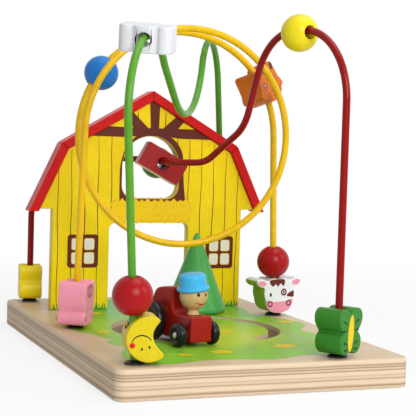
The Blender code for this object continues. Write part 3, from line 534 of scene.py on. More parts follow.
# Wire routes, the same as the frame's
def rounded_route(corners, radii):
    """Straight runs between the corners, each corner rounded to its radius."""
    points = [Vector(corners[0])]
    for i, radius in enumerate(radii, start=1):
        before, corner, after = (Vector(corners[j]) for j in (i - 1, i, i + 1))
        to_before = (before - corner).normalized()
        to_after = (after - corner).normalized()
        opening = to_before.angle(to_after)
        reach = radius / math.tan(opening / 2)
        centre = corner + (to_before + to_after).normalized() * radius / math.sin(opening / 2)
        start = (corner + to_before * reach - centre) / radius
        turn = math.pi - opening
        count = max(4, math.ceil(radius * turn / WIRE_STEP))
        for k in range(count + 1):
            a = turn * k / count
            points.append(centre + radius * (start * math.cos(a) - to_before * math.sin(a)))
    points.append(Vector(corners[-1]))
    return points


def foot_point(name):
    """The bottom end of an upright leg, in its hole in the board."""
    return Vector((*FEET[name], BOARD_TOP - FOOT_DEPTH + GAP))


def leg_start(name, top):
    """The bottom end of a leaning leg whose straight run ends at top."""
    surface = Vector((*FEET[name], BOARD_TOP))
    drop = (surface - top).normalized()
    return surface + drop * (FOOT_DEPTH - GAP) / -drop.z


LOOP_RADIUS, LOOP_DROP = 0.0785, 0.0806
LOOP_FRONT = Vector((0.0, FEET["yellow_left"][1], BOARD_TOP + 0.1389))
LOOP_BACK = Vector((0.004, FEET["yellow_right"][1], BOARD_TOP + 0.1383))


def on_loop(centre, angle, rise=LOOP_RADIUS):
    return centre + Vector((LOOP_RADIUS * math.cos(angle), 0, rise * math.sin(angle)))


def yellow_route():
    """Up the left leg, over the front arch, down and back along the low half turn, and over the back arch."""
    def touch(foot, centre, side):
        x, height = FEET[foot][0] - centre.x, centre.z - BOARD_TOP
        return math.atan2(height, -x) + side * (math.asin(LOOP_RADIUS / math.hypot(x, height)) + math.pi / 2)

    start, finish = touch("yellow_left", LOOP_FRONT, 1), touch("yellow_right", LOOP_BACK, -1)
    steps = math.ceil(math.pi * LOOP_RADIUS / WIRE_STEP)
    points = [leg_start("yellow_left", on_loop(LOOP_FRONT, start))]
    points += [on_loop(LOOP_FRONT, start * (1 - i / steps)) for i in range(steps + 1)]
    for i in range(1, steps):
        share = i / steps
        blend = share * share * (3 - 2 * share)
        points.append(on_loop(LOOP_FRONT.lerp(LOOP_BACK, blend), -math.pi * share, LOOP_DROP))
    points += [on_loop(LOOP_BACK, math.pi + (finish - math.pi) * i / steps) for i in range(steps + 1)]
    points.append(leg_start("yellow_right", points[-1]))
    return points


RED_TOP, RED_LEVEL = BOARD_TOP + 0.2122, BOARD_TOP + 0.1180
RED_FRONT = Vector(FEET["red_front"])
RED_LINE = (Vector((0.007, 0.087)) - RED_FRONT).normalized()
RED_TURN = Vector((0.0002, 0.0455))
STRETCH_ANGLE = math.radians(8.5)
STRETCH = Vector((math.sin(STRETCH_ANGLE), math.cos(STRETCH_ANGLE)))
RED_OVER, RED_DOWN, RED_DOWN_HEIGHT = 0.0890, 0.1149, BOARD_TOP + 0.1466
RED_DIP = (0.0190, 0.0160, RED_LEVEL + 0.0015)
RED_BENDS = (0.0480, 0.0420, 0.0336, 0.030, 0.018, 0.020, 0.0495)


def red_route():
    """Up the front leg, back over the arch, down into the dip and level to the back leg."""
    back = FEET["red_back"]
    turn_back = RED_TURN + STRETCH * (back[1] - RED_TURN.y) / STRETCH.y
    over = RED_FRONT + RED_LINE * RED_OVER
    down = RED_FRONT + RED_LINE * RED_DOWN
    corners = [foot_point("red_front"), (*RED_FRONT, RED_TOP), (*over, RED_TOP), (*down, RED_DOWN_HEIGHT),
               RED_DIP, (*RED_TURN, RED_LEVEL), (*turn_back, RED_LEVEL), (*back, RED_LEVEL),
               foot_point("red_back")]
    return rounded_route(corners, RED_BENDS)


HUMP_RADIUS, HUMP_HEIGHT = 0.0510, BOARD_TOP + 0.1520
HUMP_START = Vector((-0.0917, -0.1385))
GREEN_LINE = (Vector(FEET["green_back"]) - HUMP_START).normalized()
HUMP_END = math.radians(43)
HUMP_CENTRE = HUMP_START + GREEN_LINE * HUMP_RADIUS
GREEN_STATIONS = ((0.1913, 0.1190), (0.2156, 0.2141), (0.2641, 0.2141))
GREEN_BENDS = (0.059, 0.0305, 0.0430)


def on_hump(angle):
    flat = HUMP_CENTRE + GREEN_LINE * HUMP_RADIUS * math.cos(angle)
    return Vector((*flat, HUMP_HEIGHT + HUMP_RADIUS * math.sin(angle)))


def green_route():
    """Up the front leg, over the round hump, through the valley and over the rear hump."""
    steps = math.ceil(HUMP_RADIUS * math.pi / WIRE_STEP)
    hump = [on_hump(math.pi + (HUMP_END - math.pi) * i / steps) for i in range(steps + 1)]
    corners = [(*(HUMP_START + GREEN_LINE * run), BOARD_TOP + rise) for run, rise in GREEN_STATIONS]
    corners = [hump[-1]] + corners + [foot_point("green_back")]
    return [leg_start("green_front", hump[0])] + hump + rounded_route(corners, GREEN_BENDS)[1:]


ROUTES = {"red": red_route(), "green": green_route(), "yellow": yellow_route()}


def make_wires():
    for colour, points in ROUTES.items():
        curve = bpy.data.curves.new(f"wire_{colour}", "CURVE")
        curve.dimensions = "3D"
        curve.bevel_depth = WIRE_RADIUS
        curve.bevel_resolution = 7
        curve.use_fill_caps = True
        spline = curve.splines.new("POLY")
        spline.points.add(len(points) - 1)
        for point, place in zip(spline.points, points):
            point.co = (*place, 1.0)
        spline.use_smooth = True
        item = link(f"coated_wire_{colour}", curve, [f"{colour}_coat"], Matrix(), "frame")
        stand_in(f"wire_{colour}")


# Places of beads, the same as the frame's
def leg(name):
    """The two lowest points of a leg, the lower one first."""
    colour, side = name.split("_")
    route = ROUTES[colour]
    return route[:2] if side in ("front", "left") else route[:-3:-1]


def on_leg(name, height):
    first, second = leg(name)
    return first.lerp(second, (height - first.z) / (second.z - first.z))


def standing(name, height, turn):
    """A bead that is threaded on a leg, its front turned by so many degrees from the board's front."""
    first, second = leg(name)
    lean = (second - first).to_track_quat("Z", "Y").to_matrix()
    front = lean @ Vector((0, -1, 0))
    spin = Matrix.Rotation(math.radians(turn) - math.atan2(front.x, -front.y), 4, "Z")
    return Matrix.Translation(on_leg(name, height)) @ lean.to_4x4() @ spin


def on_arc(centre, heading, radius, angle, roll):
    """A bead on an upright arc; the angle runs up from the arc's level, and both angles are in degrees."""
    angle = math.radians(angle)
    plane = Matrix.Translation(centre) @ Matrix.Rotation(heading, 4, "Z")
    spot = Matrix.Translation((radius * math.cos(angle), 0, radius * math.sin(angle)))
    return plane @ spot @ Matrix.Rotation(-angle, 4, "Y") @ Matrix.Rotation(math.radians(roll), 4, "Z")


def along_track(place, height, flat):
    """A bead that hangs on a level stretch of the red wire."""
    z = Vector((flat[0], flat[1], 0)).normalized()
    y = Vector((0, 0, -1))
    turn = Matrix((y.cross(z), y, z)).transposed().to_4x4()
    return Matrix.Translation((*place, height - BEAD_HANG)) @ turn


# Right halves of the beads' outlines, in millimetres, the same as the frame's but for the cat's larger ears
BUTTERFLY = ((0, 11.6), (2.5, 13.8), (7, 15.2), (11.5, 14.5), (14.2, 11), (14, 6.4), (11.6, 2.4), (9.2, -0.4),
             (11.4, -2.5), (13, -6.4), (12, -11.3), (8.6, -14.5), (4.4, -15), (1.6, -13.4), (0, -12.2))
PIG = ((0, 12), (3.5, 13), (7, 15.6), (11, 15.2), (12.9, 11.4), (13.4, 5), (13, -1), (11.6, -5), (11.2, -6.6),
       (12.8, -8.4), (13.4, -11.8), (12.2, -15), (9, -16.2), (0, -16.2))
COW = ((0, 12.8), (6, 13.2), (10, 11.8), (15, 13.4), (19, 12.6), (19.8, 10.1), (17.4, 7.4), (13.4, 5.8),
       (13.6, 1.3), (12.4, -4), (11.6, -8), (8.6, -12), (4.2, -13.9), (0, -14.4))
CAT = ((0, 10.4), (5, 10.8), (7.2, 14.4), (10.8, 16.4), (14.4, 15.2), (15.0, 11.0), (15.4, 6), (15.9, 1.6),
       (17.4, -0.6), (18.2, -5), (14.6, -6.4), (11, -9.4), (6, -11.8), (0, -12.6))
CHICK = ((0, 10.6), (3.4, 12.6), (7.4, 13.8), (10.8, 12.2), (11.8, 8.4), (10.6, 4.6), (9.4, 1), (11.2, -1.6),
         (12.4, -5.6), (11.8, -10), (8.8, -13.2), (4.4, -14), (0, -14))
CLOUD = ((0, 12), (5, 11.4), (8, 9), (10.6, 10.6), (14.4, 10.2), (17.2, 7.4), (17.8, 3.4), (16.8, 0),
         (17.8, -3.6), (17, -8), (13.6, -10.4), (10, -10), (7.8, -8.6), (4.6, -11.2), (0, -12.2))
MOON_RADIUS, MOON_OFFSET = 14.2, 8.0
MOON_HORNS = ((17.5, -10.4), (16.6, -9.2), (13.4, -5.6), (11.4, -2), (10.6, 1.6), (11, 4.4), (12.4, 7.2),
              (15, 10.2), (15.4, 11.6))
BLOCK_WIDTH, BLOCK_LENGTH, BLOCK_CORNER = 36.0, 17.0, 1.3
BALL_ON_ARCH, BLOCK_ON_STRETCH = 0.0527, 0.0295
BLUE_ANGLE, CAT_ANGLE, CLOUD_ANGLE = 144, 30.2, 100
CAT_ROLL, CLOUD_ROLL, BLOCK_ROLL = 36, 86, 29
DOME_RIM = FERRULE_HEIGHT * math.sqrt(1 - (BORE_RADIUS / FERRULE_RADIUS) ** 2)
BEAD_FLOOR = BOARD_TOP + 2 * GAP + DOME_RIM
BALL_HALF = math.sqrt(BALL_RADIUS ** 2 - BORE_RADIUS ** 2)


def reach_at_bore(half, sign):
    """How far a bead's outline reaches up (1) or down (-1) beside its bore, in metres."""
    return max(sign * z for x, z in mirrored(half) if -BORE_RADIUS <= x * MM <= 1.4 * BORE_RADIUS) * MM


def bead_places():
    """Each bead's matrix, by name."""
    moon_reach = math.sqrt((MOON_RADIUS * MM) ** 2 - (MOON_OFFSET * MM - BORE_RADIUS) ** 2)
    places = {
        "moon": standing("green_front", BEAD_FLOOR + moon_reach, -9),
        "red_front": standing("green_front", BEAD_FLOOR + 2 * moon_reach + GAP + BALL_HALF, 0),
    }
    for name, outline, foot, turn in (
        ("butterfly", BUTTERFLY, "red_front", 31), ("pig", PIG, "yellow_left", 59),
        ("chick", CHICK, "red_back", -99), ("cow", COW, "yellow_right", 5),
    ):
        places[name] = standing(foot, BEAD_FLOOR + reach_at_bore(outline, -1), turn)
    cow_top = BEAD_FLOOR + reach_at_bore(COW, -1) + reach_at_bore(COW, 1) + GAP
    places["red_right"] = standing("yellow_right", cow_top + BALL_HALF, 0)
    places["blue"] = on_arc(LOOP_BACK, 0, LOOP_RADIUS - BEAD_HANG, BLUE_ANGLE, 0)
    places["cat"] = on_arc(LOOP_BACK, 0, LOOP_RADIUS - BEAD_HANG, CAT_ANGLE, CAT_ROLL)
    heading = math.atan2(GREEN_LINE.y, GREEN_LINE.x)
    hump = (*HUMP_CENTRE, HUMP_HEIGHT)
    places["cloud"] = on_arc(hump, heading, HUMP_RADIUS - BEAD_HANG, CLOUD_ANGLE, CLOUD_ROLL)
    places["yellow"] = along_track(RED_FRONT + RED_LINE * BALL_ON_ARCH, RED_TOP, RED_LINE)
    block_at = RED_TURN + STRETCH * BLOCK_ON_STRETCH
    block_roll = Matrix.Rotation(math.radians(BLOCK_ROLL), 4, "Z")
    places["block"] = along_track(block_at, RED_LEVEL, STRETCH) @ block_roll
    ball_at = block_at + STRETCH * (BLOCK_LENGTH * MM / 2 + BALL_HALF + GAP)
    places["green"] = along_track(ball_at, RED_LEVEL, STRETCH)
    return places


# Beads
def ball(name, body, matrix, paint):
    """A turned ball with softly broken edges round its bore."""
    limit = math.asin(BALL_HALF / BALL_RADIUS)
    rim = 0.0006
    profile = arc(0, 0, BALL_RADIUS, -limit + 0.05, limit - 0.05, 30)
    profile += [(BORE_RADIUS + rim * 0.35, BALL_HALF - rim * 0.25), (BORE_RADIUS, BALL_HALF - rim)]
    profile += [(BORE_RADIUS, rim - BALL_HALF), (BORE_RADIUS + rim * 0.35, rim * 0.25 - BALL_HALF)]
    item = link(f"lacquered_ball_{name}", turned(f"ball_{name}", profile, 72), [paint], matrix, body)
    stand_in(f"ball_{name}")


def shaped_bead(name, outline, matrix, paints, thickness=BEAD_THICKNESS, side_paint=None):
    """A sawn and sanded shape with rounded edges; side_paint picks each face's paint from its normal."""
    mesh = slab(f"bead_{name}", outline, thickness)
    if side_paint:
        for face in mesh.polygons:
            face.material_index = side_paint(face.normal)
    item = link(f"lacquered_bead_{name}", bored(mesh), paints, matrix, name)
    soften(item, BEAD_EDGE)
    stand_in(f"bead_{name}")


def face_print(name, matrix, back=False, thickness=BEAD_THICKNESS):
    """An empty print on a bead's front or back face."""
    turn = Matrix.Rotation(math.pi, 4, "Z") if back else Matrix()
    at_face = matrix @ turn @ Matrix.Translation((0, -thickness / 2, 0))
    return Print(f"print_{name}_back" if back else f"print_{name}", at_face, name)


def make_moon(matrix):
    outer = arc(MOON_OFFSET, 0, MOON_RADIUS, math.radians(68), math.radians(308), 40)
    outline = in_mm(outer + through(MOON_HORNS, False, 4))
    shaped_bead("moon", outline, matrix, ["moon_paint"])
    for back in (False, True):
        side = -1 if back else 1
        face = face_print("moon", matrix, back)
        smile = [(-2.6, -1.0), (-0.6, 1.7), (3.4, 2.9), (7.2, 1.6), (9.2, -0.6)]
        face.paint("ink_black", stroke([(side * x, z) for x, z in smile], 0.85))
        face.paint("ink_red", oval(side * -2.5, -3.0, 1.75, 1.75), layer=2)
        for x, z in ((3.3, -5.5), (8.0, -4.6)):
            face.paint("ink_black", oval(side * x, z, 0.62, 0.95))
        face.finish()


def make_pig(matrix):
    shaped_bead("pig", rounded(PIG), matrix, ["pink_paint"])
    face = face_print("pig", matrix)
    face.paint("ink_pink", oval(-0.6, 8.4, 7.4, 5.3))
    for side in (-1, 1):
        face.paint("ink_pale_pink", oval(-0.6 + side * 3.0, 8.2, 1.5, 2.2), layer=2)
        face.paint("ink_brown", oval(-0.6 + side * 3.7, -4.5, 0.75, 0.9))
        face.paint("ink_pink", oval(side * 9.4, -11.2, 1.9, 1.7))
    face.finish()


def make_cow(matrix):
    """The cow, with a white front and top edge and green sides."""
    def side_paint(normal):
        return 0 if normal.y < -0.5 or normal.z > 0.55 else 1

    shaped_bead("cow", rounded(COW), matrix, ["white_paint", "olive_paint"],
                side_paint=side_paint)
    face = face_print("cow", matrix)
    muzzle = ((0, -5.0), (6, -4.8), (10.4, -3.4), (11.9, -4.4), (11.0, -8.0), (8.2, -11.6), (4.2, -13.3),
              (0, -13.8))
    face.paint("ink_pale_pink", in_mm(through(mirrored(muzzle), steps=4)))
    for side in (-1, 1):
        face.paint("ink_plum", oval(side * 8.2, -6.5, 2.4, 2.4), layer=2)
        face.paint("ink_pale_pink", oval(side * 8.2, -6.5, 1.3, 1.3), layer=3)
        face.paint("ink_pale_pink", oval(side * 15.0, 9.8, 3.7, 2.1, side * 10))
    face.paint("ink_black", oval(-7.6, 0.7, 1.0, 1.5))
    fringe = ((-8.0, 12.0), (-3, 12.5), (4.2, 12.3), (5.0, 9.8), (4.2, 7.4), (2.8, 7.6), (1.8, 9.0),
              (0.6, 8.8), (-0.8, 7.0), (-2.0, 7.3), (-2.7, 8.8), (-3.8, 8.4), (-5.0, 7.2), (-6.8, 7.8),
              (-8.2, 9.8))
    patch = ((6.6, -0.2), (8.4, 1.4), (11.2, 2.7), (12.9, 3.1), (13.0, -0.2), (12.5, -1.8), (9.6, -1.7),
             (7.4, -1.2))
    for spot in (fringe, patch):
        face.paint("ink_brown", in_mm(through(spot, steps=4)))
    for paint, width, height, layer in (("ink_brown", 2.6, 2.8, 2), ("white_paint", 1.3, 1.35, 3),
                                        ("ink_brown", 0.8, 0.9, 4)):
        face.paint(paint, oval(4.0, 2.3, width, height), layer=layer)
    face.finish()


def make_butterfly(matrix):
    shaped_bead("butterfly", rounded(BUTTERFLY), matrix, ["leaf_paint"])
    feelers = (((8.3, 7.0), (3.8, 4.4), 0.4), ((8.4, 1.0), (3.9, 1.8), -0.7),
               ((7.2, -6.8), (3.6, -8.4), 0.3), ((6.8, -11.4), (3.4, -10.6), -0.5))
    middle_x = -0.6
    for back in (False, True):
        face = face_print("butterfly", matrix, back)
        face.paint("ink_yellow", oval(middle_x, -1.0, 3.3, 12.0, 5 if back else -5))
        for side in (-1, 1):
            for tip, root, bow in feelers:
                middle = ((tip[0] + root[0]) / 2, (tip[1] + root[1]) / 2 + bow)
                line = [(side * x + middle_x, z) for x, z in (root, middle, tip)]
                face.paint("ink_black", stroke(line, 0.85), layer=2)
                face.paint("ink_black", oval(side * tip[0] + middle_x, tip[1], 0.9, 0.9), layer=3)
        face.finish()


def make_cat(matrix):
    shaped_bead("cat", rounded(CAT), matrix, ["ginger_paint"])
    for back in (False, True):
        face = face_print("cat", matrix, back)
        for side in (-1, 1):
            face.paint("ink_brown", oval(side * 11.2, 12.3, 2.5, 3.0, side * -10))
            for paint, width, height, layer in (("ink_brown", 2.5, 3.0, 1), ("ink_pale_pink", 1.7, 2.2, 2),
                                                ("ink_brown", 1.1, 1.6, 3)):
                face.paint(paint, oval(side * 7.8, 2.0, width, height), layer=layer)
            # A small white dot in each pupil: a painted highlight.
            face.paint("white_paint", oval(side * 7.8 - 0.5, 2.7, 0.5, 0.6), layer=4)
            for rise in (0.0, -2.2, -4.4):
                line = ((6.0, -4.2 + rise), (8.4, -4.6 + rise), (10.4, -5.6 + rise * 0.7))
                face.paint("ink_brown", stroke([(side * x, z) for x, z in line], 0.75))
        face.paint("ink_brown", in_mm(through(((-2.2, -3.0), (2.2, -3.0), (0, -5.6)), steps=5)))
        mouth = [(-3.2, -7.8), (-1.2, -8.6), (0, -6.4), (1.2, -8.6), (3.2, -7.8)]
        face.paint("ink_brown", stroke(mouth, 0.7))
        face.finish()


def make_chick(matrix):
    shaped_bead("chick", rounded(CHICK), matrix, ["chick_paint"], CHICK_THICKNESS)
    face = face_print("chick", matrix, thickness=CHICK_THICKNESS)
    for side in (-1, 1):
        face.paint("ink_black", oval(side * 4.6, 6.4, 1.0, 1.3))
        face.paint("ink_red", oval(side * 7.0, 2.4, 1.5, 1.2))
        wing = ((10.0, -2.6), (8.0, -6.4), (9.4, -9.6))
        face.paint("ink_straw_dark", stroke([(side * x, z) for x, z in wing], 1.1))
    face.paint("ink_straw_dark", in_mm([(-2.6, 4.0), (0, 5.2), (2.6, 4.0), (0, 1.4)]))
    face.finish()


def make_beads():
    places = bead_places()
    for name, body, paint, slot in (
        ("red_front", "front_ball", "berry_paint", "red_lacquer"),
        ("red_right", "right_ball", "berry_paint", "red_lacquer"),
        ("blue", "blue", "blue_paint", "blue_lacquer"),
        ("yellow", "yellow", "lemon_paint", "yellow_lacquer"),
        ("green", "green", "moss_paint", "green_lacquer"),
    ):
        ball(name, body, places[name], paint)
    make_moon(places["moon"])
    make_pig(places["pig"])
    make_cow(places["cow"])
    make_butterfly(places["butterfly"])
    make_cat(places["cat"])
    make_chick(places["chick"])
    # The block's lower face is painted golden beech, a painted reflection of the yellow barn
    shaped_bead("block", rounded_box(0, 0, BLOCK_WIDTH, BLOCK_LENGTH, BLOCK_CORNER), places["block"],
                ["brick_paint", "beech_as_painted_reflection"], side_paint=lambda normal: int(normal.y > 0.5))
    shaped_bead("cloud", rounded(CLOUD), places["cloud"], ["cloud_paint"], CLOUD_THICKNESS)


# Board and its print, in millimetres
MEADOW_EDGE = (
    (-74.7, -144), (-62, -144.2), (-52, -142), (-40, -137.8), (-27, -136.6), (-12, -138.6), (2, -142.6),
    (12, -142.8), (24, -137.2), (36, -133), (48, -133.6), (60, -128), (70, -108), (78, -80), (80, -58),
    (76.6, -46), (77, -37), (83, -29), (90, -17), (91.6, -6), (88, 8), (80, 23), (71, 39), (73, 52), (76, 68),
    (74, 88), (66, 104), (40, 120), (10, 136), (-16, 143), (-40, 132), (-62, 116), (-71, 96), (-72, 76),
    (-84, 52), (-89, 24), (-88, 2), (-84, -18), (-78, -29), (-75.5, -42), (-72, -51), (-77.5, -60),
    (-77, -70), (-72, -82), (-78, -96), (-84, -116), (-82, -134),
)
# Each flower's place and size
FLOWERS = ((-14.9, -111.3, 6.5), (36.0, -98.8, 7.0), (82.0, -1.6, 5.5), (-42.5, -116.0, 4.0),
           (19.0, -35.0, 5.5), (45.0, 47.0, 5.0), (-50.0, 66.0, 5.0), (-68.0, -20.0, 4.5))
LEAF_STROKES = (((-52, -110), (-44, -116), (-34, -123)), ((44, -93), (52, -88), (62, -92)),
                ((2, -70), (8, -60), (16, -56)))


def on_track(angle):
    return SLOT_X + SLOT_RADIUS * math.cos(angle), SLOT_Y + SLOT_RADIUS * math.sin(angle)


def slot_outline(margin):
    """The slot's plan outline with a margin, in metres."""
    (start, end), half = SLOT_ENDS, SLOT_WIDTH / 2 + margin
    outline = arc(SLOT_X, SLOT_Y, SLOT_RADIUS + half, start, end, 72)
    outline += arc(*on_track(end), half, end, end + math.pi, 10)[1:-1]
    outline += arc(SLOT_X, SLOT_Y, SLOT_RADIUS - half, end, start, 72)
    return outline + arc(*on_track(start), half, start - math.pi, start, 10)[1:-1]


def paint_flower(meadow, x, y, size):
    """Five petals with a lime halo and a dark middle, seen a little flattened."""
    def petals(scale):
        angles = [math.pi * i / 30 for i in range(60)]
        reach = [(scale * size * (1 + 0.16 * math.cos(5 * a)), a) for a in angles]
        return in_mm([(x + r * math.cos(a + x), y + 0.8 * r * math.sin(a + x)) for r, a in reach])

    meadow.paint("ink_lime", petals(1.25), layer=3)
    meadow.paint("ink_yellow", petals(1), layer=4)
    meadow.paint("ink_straw_dark", oval(x, y, 0.42 * size, 0.36 * size), layer=5)


def make_board():
    dress("base_board", "birch_ply")
    flat = Matrix.Translation((0, 0, BOARD_TOP)) @ Matrix.Rotation(-math.pi / 2, 4, "X")
    meadow = Print("print_meadow", flat, "frame")
    meadow.paint("meadow_print", in_mm(through(MEADOW_EDGE, steps=6)), slot_outline(0.0002))
    for line in LEAF_STROKES:
        meadow.paint("ink_pale_green", stroke(line, 4.5), layer=2)
    for flower in FLOWERS:
        paint_flower(meadow, *flower)
    meadow.finish()


# Barn and its print, in millimetres
PLANK, SHORTEST_JOINT = 10.75, 4
EAVES_X, EAVES_Z = 79, 100.6
DOOR_SIDE, DOOR_HEAD, LEG_FOOT = 35, 92.0, 21.2
GABLE_HALF, ROOF_BREAK = 36, 71
# Each roof line's height at the middle, and its fall to the side
UPPER_ROOF, LOWER_ROOF = (183.0, 0.578), (292.0, 2.14)
SILL, RING_SHOULDER_X, RING_SHOULDER_Z = 104.0, 20, 147.0
BEAM_TOP, BEAM_BOTTOM = 164.0, 157.0
WINDOW_RING = 27.0
WINDOW_HALF, WINDOW_BOTTOM, WINDOW_TOP, WINDOW_CORNER = 23.5, 108.0, 157.5, 10.0
WINDOW_FRAME = [(-25.6, 103.5), (30.2, 103.5)]
WINDOW_ARCH = ((30.0, 106), (28.6, 116), (27.6, 130), (26.8, 142.6), (23.4, 150.4), (17.6, 156.2),
               (9.4, 160.0), (0, 161.2), (-8.6, 159.4), (-15.2, 155.2), (-22.0, 146.2), (-25.4, 134),
               (-25.8, 120), (-25.6, 106))
CROSS_BEAM = ((-49.5, BEAM_BOTTOM - 0.4), (-36.5, BEAM_TOP + 0.6), (-15, BEAM_TOP), (18, BEAM_TOP),
              (37.0, BEAM_TOP - 0.2), (52.5, BEAM_BOTTOM - 1.2), (25, BEAM_BOTTOM - 1.0),
              (8, WINDOW_TOP + 0.2), (-8, WINDOW_TOP + 0.2), (-25, BEAM_BOTTOM - 0.6))
POST = ((-1.0, 163.0), (6.0, 163.0), (6.2, 172), (6.6, 184.4), (2.6, 186.4), (-2.2, 184.6), (-1.4, 172))
LEFT_BRACE = ((-2.0, 163.0), (-14.2, 163.0), (-24.2, 173.0), (-16.4, 176.8))
RIGHT_BRACE = ((8.3, 163.0), (21.4, 163.0), (28.0, 170.6), (21.6, 174.6))
STRAW_TOP, STRAW_LOW, STRAW_LEFT, STRAW_RIGHT = 105.6, 90.6, -31.4, 33.6
# Each side window's middle, width and height
SIDE_WINDOWS = ((-54.4, 66.2, 25.0, 26.2), (60.7, 64.4, 24.0, 26.4))


def make_barn():
    dress("barn_front", "barn_paint", 0.0006)
    for name in ("roof_lower_left", "roof_lower_right", "roof_upper_left", "roof_upper_right"):
        dress(name, "roof_paint")
    for name, turn, y in (("print_barn", 0, BARN_FRONT), ("print_barn_back", math.pi, BARN_BACK)):
        barn = Print(name, Matrix.Translation((0, y, 0)) @ Matrix.Rotation(turn, 4, "Z"), "frame")
        paint_planks(barn)
        paint_beams(barn)
        paint_straw(barn)
        for window in SIDE_WINDOWS:
            paint_window(barn, *window)
        paint_grass(barn)
        barn.finish()


def plank_joints(x):
    """The heights between which a joint is painted, broken where the door, window and beams are."""
    across = abs(x)
    low = EAVES_Z if across > EAVES_X else (LEG_FOOT if across > DOOR_SIDE else DOOR_HEAD)
    ridge, slope = UPPER_ROOF if across < ROOF_BREAK else LOWER_ROOF
    roof = ridge - slope * across
    stretches = [(low, min(roof, WINDOW_TOP))]
    if across < WINDOW_RING:
        stretches = [(low, SILL)]
        if across > RING_SHOULDER_X:
            stretches.append((RING_SHOULDER_Z, BEAM_BOTTOM))
    if across < GABLE_HALF:
        stretches.append((BEAM_TOP + 0.5, roof))
    return [(bottom, top) for bottom, top in stretches if top - bottom >= SHORTEST_JOINT]


def paint_planks(barn):
    """Thin wavering joints between planks."""
    for i in (*range(-7, 0), *range(1, 8)):
        x = i * PLANK
        for bottom, top in plank_joints(x):
            steps = max(3, round((top - bottom) / 12))
            line = []
            for k in range(steps + 1):
                z = bottom + (top - bottom) * k / steps
                fan = 0.006 * (z - 100) * math.copysign(1, x)
                line.append((x + 0.35 * math.sin(0.11 * z + 1.7 * i) + fan, z))
            barn.paint("ink_plank", stroke(line, 0.74, 4, 0.12))


def paint_beams(barn):
    """The cross beam, its post and braces, and the frame round the window's opening."""
    for shape, layer in ((CROSS_BEAM, 2), (POST, 3), (LEFT_BRACE, 4), (RIGHT_BRACE, 4)):
        barn.paint("ink_brown", in_mm(shape), layer=layer)
    half, corner, gap = WINDOW_HALF, WINDOW_CORNER, 0.5
    opening = arc(0, WINDOW_TOP - half, half + gap, 0, math.pi, 32)
    opening += arc(-half + corner, WINDOW_BOTTOM + corner, corner + gap, math.pi, 1.5 * math.pi, 8)
    opening += arc(half - corner, WINDOW_BOTTOM + corner, corner + gap, 1.5 * math.pi, 2 * math.pi, 8)
    barn.paint("ink_brown", in_mm(WINDOW_FRAME + through(WINDOW_ARCH, False, 6)), in_mm(opening), layer=5)


def straw_edge(inset):
    """The straw band's ragged outline, drawn in by so much."""
    top, low = STRAW_TOP - inset, STRAW_LOW + inset
    left, right = STRAW_LEFT + inset, STRAW_RIGHT - inset
    outline = []
    for start, end, count, normal in (
        ((left, top), (right, top), 24, (0, 1)), ((right, top), (right, low), 6, (1, 0)),
        ((right, low), (left, low), 22, (0, -1)), ((left, low), (left, top), 6, (-1, 0)),
    ):
        for i in range(count):
            share = i / count
            tip = (2.2 if i % 2 else 0.0) + 0.6 * math.sin(4.7 * i)
            x = start[0] + (end[0] - start[0]) * share + normal[0] * tip + 0.4 * math.sin(7.3 * i)
            z = start[1] + (end[1] - start[1]) * share + normal[1] * tip
            outline.append((x, z))
    return in_mm(outline)


def paint_straw(barn):
    """The straw band between the window and the door."""
    barn.paint("ink_straw_dark", straw_edge(0.0), layer=6)
    barn.paint("ink_straw", straw_edge(0.75), layer=7)
    for i in range(22):
        x = -28.0 + 2.75 * i
        low = [(x, 92.6 + 1.2 * math.sin(3.1 * i)),
               (x + 0.7 * math.sin(2.3 * i), 95.4 + 0.8 * math.sin(5.0 * i))]
        high = [(x + 1.2, 103.0 + 0.8 * math.sin(2.9 * i)), (x + 1.2 + 0.6 * math.sin(4.1 * i), 100.6)]
        for straw in (low, high):
            barn.paint("ink_straw_dark", stroke(straw, 0.45, 2), layer=8)


def paint_window(barn, x, z, width, height):
    """A brown frame with four cream panes, each with a straw edge."""
    barn.paint("ink_brown", rounded_box(x, z, width, height, 2.6), layer=2)
    for sx in (-1, 1):
        for sz in (-1, 1):
            centre = (x + sx * width * 0.205, z + sz * height * 0.21)
            barn.paint("ink_straw", rounded_box(*centre, width * 0.335, height * 0.355, 1.7), layer=3)
            barn.paint("ink_cream", rounded_box(*centre, width * 0.30, height * 0.32, 1.5), layer=4)


def paint_grass(barn):
    """Tufts at the foot of each leg, in two greens."""
    floor = BOARD_TOP / MM + 0.5
    for side in (-1, 1):
        for i in range(34):
            x = side * (35.5 + 1.27 * i)
            tip = floor + 2.4 + 2.2 * abs(math.sin(2.3 * i)) + (1.6 if i % 5 == 0 else 0.0)
            lean = x + 1.3 * math.sin(3.7 * i)
            blade = [(x - 1.0, floor), (x + 1.0, floor), (lean + 0.25, tip), (lean - 0.1, tip)]
            barn.paint("ink_lime" if i % 3 == 1 else "ink_grass", in_mm(blade), layer=2 + i % 3)


# Tree and ferrules
def make_tree():
    """The turned cone with faint tool rings."""
    low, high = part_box("tree_cone")
    radius, height, edge, tip, groove = (high[0] - low[0]) / 2, high[2] - low[2], 0.003, 0.002, 0.00006
    profile = [(0, 0)] + arc(radius - edge, edge, edge, -math.pi / 2, math.radians(20), 8)
    start = Vector(profile[-1])
    end = Vector((tip, height - 0.7 * tip))
    rings = 34
    for i in range(1, rings):
        point = start.lerp(end, i / rings)
        profile.append((point.x - (groove if i % 2 else 0.0), point.y))
    profile += [tuple(end), (0.0014, height - 0.0004), (0.0006, height - 0.00005), (0, height)]
    matrix = Matrix.Translation(((low[0] + high[0]) / 2, (low[1] + high[1]) / 2, low[2]))
    cone = link("lacquered_tree", turned("tree", profile, 80), ["tree_paint"], matrix, "frame")
    stand_in("tree_cone")


